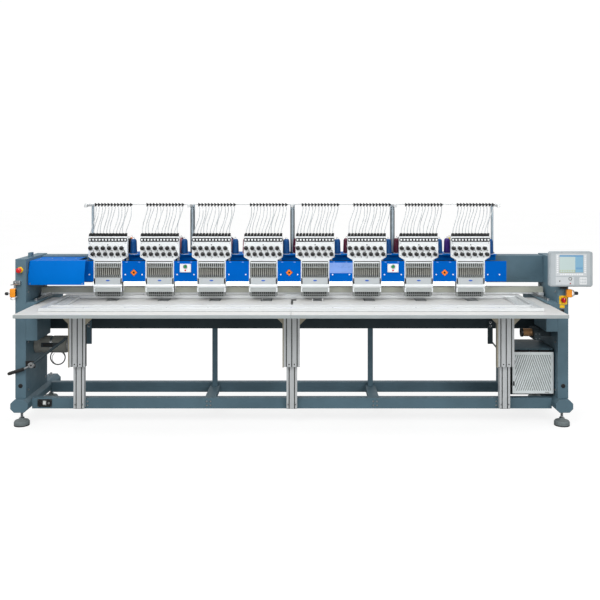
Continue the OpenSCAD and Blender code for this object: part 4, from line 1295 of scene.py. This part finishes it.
def panel():
    cx, cz, y = MX + 2070, 1185, -250
    left, top = cx - 161, cz + 131

    def plate(x0, z0, x1, z1, finish, proud, r=3, soft=0.5):
        """A plate on the panel's face, by its corners from the face's upper left one."""
        w, h = x1 - x0, z1 - z0
        at = left + x0 + w / 2, top - z0 - h / 2
        return pad((w, h, r, 4), at, y - proud, y - proud + 2.5, finish, soft)

    parts = [pad((322, 262, 18), (cx, cz), y + 3, y + 46, "panel_silver", 5),
             pad((314, 254, 14), (cx, cz), y, y + 5, "panel_silver", 1.2),
             pad((250, 190, 8), (cx, cz), y + 44, y + 52, "black", 2)]
    plates = [(12, 14, 300, 248, "panel_pale", 0.4, 6), (46, 18, 276, 182, "panel_light", 1.0, 4),
              (46, 190, 182, 246, "panel_light", 1.0, 3), (188, 190, 220, 246, "panel_pale", 0.9, 2),
              (222, 192, 276, 244, "key_white", 1.3, 3), (72, 24, 252, 158, "case_grey", 1.6, 3),
              (75, 27, 249, 155, "lcd_green", 1.9, 1, 0.2), (75, 27, 249, 39, "lcd_blue", 2.2, 0.6, 0.2),
              (190, 39, 249, 155, "lcd_sky", 2.2, 0.6, 0.2), (75, 137, 190, 155, "lcd_lime", 2.2, 0.6, 0.2)]
    # keys on the screen and round it
    plates += [(196, 46 + k * 18, 243, 59 + k * 18, "lcd_blue" if k == 4 else "lcd_sky", 2.5, 1.5, 0.2)
               for k in range(5)]
    plates += [(80 + k * 18, 140, 94 + k * 18, 152, "lcd_green", 2.5, 1.5, 0.2) for k in range(6)]
    plates += [(x, 30 + k * 15, x + 12, 39 + k * 15, "key_white", 2, 2) for k in range(9) for x in (53, 258)]
    plates += [(78 + k * 17.4, 165, 91 + k * 17.4, 175, "key_white", 2, 2) for k in range(10)]
    plates += [(227 + k * 12, z, 236 + k * 12, z + 16, "panel_light", 2.2, 2) for k in range(4)
               for z in (198, 220)]
    parts += [plate(*p) for p in plates]
    # round key and two small knobs
    wheel = [(12, 0), (12.5, 3), (10.5, 4.2), (9, 3, "panel_light"), (8.4, 2, "panel_light"),
             (7.5, 3.6, "panel_light"), (0, 4.2)]
    knobs = ((153, 202, wheel, "pit_grey", 32),
             (76, 218, [(0, 0), (5, 0), (5, 2.4), (3.6, 3.2), (0, 3.2)], "pit_grey", 24),
             (154, 237, [(0, 0), (4.4, 0), (4.4, 2.6), (3, 3.6), (0, 3.6)], "dark_red", 24))
    for dx, dz, profile, finish, sides in knobs:
        parts.append(lathe(profile, (left + dx, y, top - dz), "-y", finish, sides))
    parts += [screw(left + dx, y, top - dz, 2.6, height=1) for dx in (8, 314) for dz in (8, 254)]
    px, py = MX + 2036, -183
    sleeve = [(6.2, 1054), (11.5, 1054), (12.5, 1058), (12.5, 1108), (11.5, 1112), (6.2, 1112), (6.2, 1054)]
    parts.append(lathe(sleeve, (px, py, 0), "z", "black", 28))
    parts.append(block((px - 10, -206, 1054), (px + 10, -190, 1112), "black", 2))
    parts.append(block((px - 60, -206, 1056), (px + 60, -200, 1084), "black", 1.5))
    make("control_terminal", parts, "panel", "control_panel")


def controls():
    x, z = MX - 2038, 1170
    parts = [lathe([(7, 0), (23, 0), (23, 9), (20, 12), (7, 12), (7, 0)], (x, COLUMN_Y, z), "-y",
                   "sign_yellow", 40)]
    sx, sz = MX + 2036, 946
    parts += [pad((60, 68, 5), (sx, 944), -175, COLUMN_Y, "sign_yellow", 1.2),
              pad((36, 22, 3), (sx - 8, 895), -174, COLUMN_Y, "sign_yellow", 1),
              block((sx - 20, -190, 852), (sx + 2, COLUMN_Y, 876), "black", 3),
              lathe([(0, 0), (5, 0), (5, 5), (0, 5)], (sx - 12, -175, 884), "-y", "zinc", 20)]
    parts += [screw(sx + dx, -175, 944 + dz, 2.4, height=1) for dx in (-25, 25) for dz in (-29, 29)]
    make("operator_housings", parts, "frame", "operator_boxes")
    mushroom = [(0, -17), (5.8, -17), (5.8, 26, "black"), (8, 27), (17, 28), (20, 31), (20, 38), (18.5, 42),
                (14, 45.6), (7, 47), (0, 47)]
    make("stop_mushroom", [lathe(mushroom, (x, COLUMN_Y, z), "-y", "signal_red", 48)], "estop",
         "emergency_stop")
    dial = lathe([(0, -4), (4, -4), (4, 8, "dark_red"), (20, 8), (20.4, 10), (20, 17), (18, 18.5), (0, 18.5)],
                 (sx, COLUMN_Y, sz), "-y", "dark_red", 36)
    grip = prism(moved_outline(eased([(-7, -19), (7, -19), (5.5, 19), (-5.5, 19)], 5), sx, sz), -203, -186,
                 "y", "signal_red", 2)
    mark = block((sx - 1, -203.6, sz + 6), (sx + 1, -202.6, sz + 17), "white_plastic", 0.3)
    make("main_switch_knob", [dial, grip, mark], "switch", "main_switch")
    for i, word in ((1, "left"), (5, "right")):
        bx = (ARMS[i] + ARMS[i + 1]) / 2 + CASE_SHIFT
        cap = lathe([(0, -1), (11, -1), (11, 8.6), (9.6, 10), (6, 9.4), (0, 9.4)], (bx, COVER_Y - 6, 1178),
                    "-y", "signal_green", 32)
        make("start_cap_" + word, [cap], "start_" + word, "start_button_" + word)


def barriers():
    parts = []
    # left side: clamp, rod, sensor, cable and knob
    x = MX - 2056
    parts += [pad((52, 32, 6), (x, 1076), -199, COLUMN_Y, "zinc", 3), screw(x - 12, -199, 1076, 6),
              screw(x + 14, -199, 1076, 6),
              rod((MX - 2074, -190, 1034), (MX - 2074, -190, 1092), 5, "chrome", 20),
              rod((MX - 2104, -186, 1060), (MX - 2040, -186, 1068), 4, "zinc", 14)]
    parts += [pad((42, 65, 8), (MX - 2081, 1002), -214, -184, "sensor_orange", 3),
              pad((10, 58, 3), (MX - 2065, 1002), -212, -186, "black", 1),
              rod((MX - 2120, -199, 996), (MX - 2100, -199, 996), 4, "zinc", 14),
              lathe([(0, 0), (10, 0), (12, 4), (12, 17), (9, 22), (0, 22)], (MX - 2118, -199, 996),
                    "-x", "black", 24)]
    cable = [(MX - 2090, -199, 968), (MX - 2100, -198, 958), (MX - 2092, -194, 950),
             (MX - 2074, -186, 954), (MX - 2068, -176, 966), (MX - 2064, -168, 972)]
    parts.append(tube(curve(cable, 6), 2.4, "zinc", 8))
    # right side: sensor on a bow with its knob
    parts += [pad((40, 60, 8), (MX + 2070, 1000), -215, -187, "sensor_orange", 3),
              block((MX + 2076, -187, 985), (MX + 2088, -140, 1015), "black", 2)]
    bow = [(x, -201, z) for x, z in arc(MX + 2086, 1000, 24, -90, 91)]
    parts += [tube(bow, 5, "zinc", 14),
              lathe([(0, 0), (11, 0), (13, 4), (13, 18), (10, 24), (0, 24)], (MX + 2112, -201, 1000),
                    "x", "black", 24)]
    make("light_barrier_heads", parts, "frame", "light_barriers")
    hub = (MX - 1946, -191, 461)
    grip = []
    a, b = np.array([MX - 2122, -191, 394.0]), np.array([MX - 2000, -191, 433.0])
    count = 40
    radii = [11.5 + 2.2 * (i % 4 < 2) if 2 < i < count - 2 else 10 + 0.6 * min(i, count - i)
             for i in range(count + 1)]
    grip.append(tube([a + (b - a) * i / count for i in range(count + 1)], radii, "rubber", 24))
    grip.append(rod((MX - 2004, -191, 431.5), hub, 7.5, "zinc", 20))
    grip.append(tube([hub, (MX - 1684, -191, 664)], 9.5, "near_black", 8))
    grip.append(lathe([(6.1, 0), (22, 0), (22, 24), (19, 27), (6.1, 27), (6.1, 0)], (hub[0], -178, 461),
                      "-y", "zinc", 36))
    grip.append(block((MX - 1972, -200, 448), (MX - 1950, -182, 474), "zinc", 4))
    grip += [screw(MX - 1961, -200, 461, 5), screw(MX - 1932, -205, 470, 4)]
    make("hand_lever", grip, "hand_lever", "handle_bar")


# ---- studio


def studio():
    scene = bpy.context.scene
    floor_mesh = bpy.data.meshes.new("floor")
    size = 40
    floor_mesh.from_pydata([(-size, -size, 0), (size, -size, 0), (size, size, 0), (-size, size, 0)], [],
                           [(0, 1, 2, 3)])
    floor = bpy.data.objects.new("floor", floor_mesh)
    g = Graph("studio_floor")
    seen = g.add("ShaderNodeLightPath").outputs["Is Camera Ray"]
    shade = g.mix(g.ramp(g.noise(0.7, 4), 0.3, 0.7), rgb("#8A8A89"), rgb("#929292"))
    g.set(Base_Color=shade, Roughness=0.9, Specular_IOR_Level=0.1, Emission_Color=(1, 1, 1, 1),
          Emission_Strength=g.math("MULTIPLY", seen, 0.80))
    floor_mesh.materials.append(g.material)
    scene.collection.objects.link(floor)
    world = bpy.data.worlds.new("studio")
    world.use_nodes = True
    nodes, links = world.node_tree.nodes, world.node_tree.links
    background = nodes["Background"]
    background.inputs["Color"].default_value = (1, 1, 1, 1)
    direct = nodes.new("ShaderNodeLightPath").outputs["Is Camera Ray"]
    level = nodes.new("ShaderNodeMapRange")
    level.inputs["To Min"].default_value = 0.66
    level.inputs["To Max"].default_value = 1.02
    links.new(direct, level.inputs["Value"])
    links.new(level.outputs["Result"], background.inputs["Strength"])
    scene.world = world
    for name, place, target, size, power in (("key", (-2.2, -5.0, 4.8), (0, 0, 0.9), 3.0, 175),
                                             ("fill", (3.4, -5.4, 3.0), (0, 0, 0.9), 2.6, 100),
                                             ("top", (0.0, -0.6, 5.2), (0, 0, 1.0), 3.6, 90)):
        lamp = bpy.data.lights.new(name, "AREA")
        lamp.energy, lamp.size = power, size
        obj = bpy.data.objects.new(name, lamp)
        obj.location = place
        aim = np.array(target) - np.array(place)
        obj.rotation_euler = Vector(aim).to_track_quat("-Z", "Y").to_euler()
        scene.collection.objects.link(obj)
    lens = bpy.data.cameras.new("camera")
    lens.lens, lens.sensor_width = 48, 36
    lens.shift_x, lens.shift_y = -0.005, -0.2033
    lens.clip_end = 100
    camera = bpy.data.objects.new("camera", lens)
    camera.location = (0.045, -6.173, 1.86)
    camera.rotation_euler = (math.radians(90), 0, 0)
    scene.collection.objects.link(camera)
    scene.camera = camera
    scene.view_settings.view_transform = "Standard"


needle_cases()
tension_sets()
needles()
head_frames()
covers()
thread_stand()
thread_tubes()
steel_frame()
levelling_feet()
table()
cabinet()
motors()
panel()
controls()
barriers()
studio()

import json
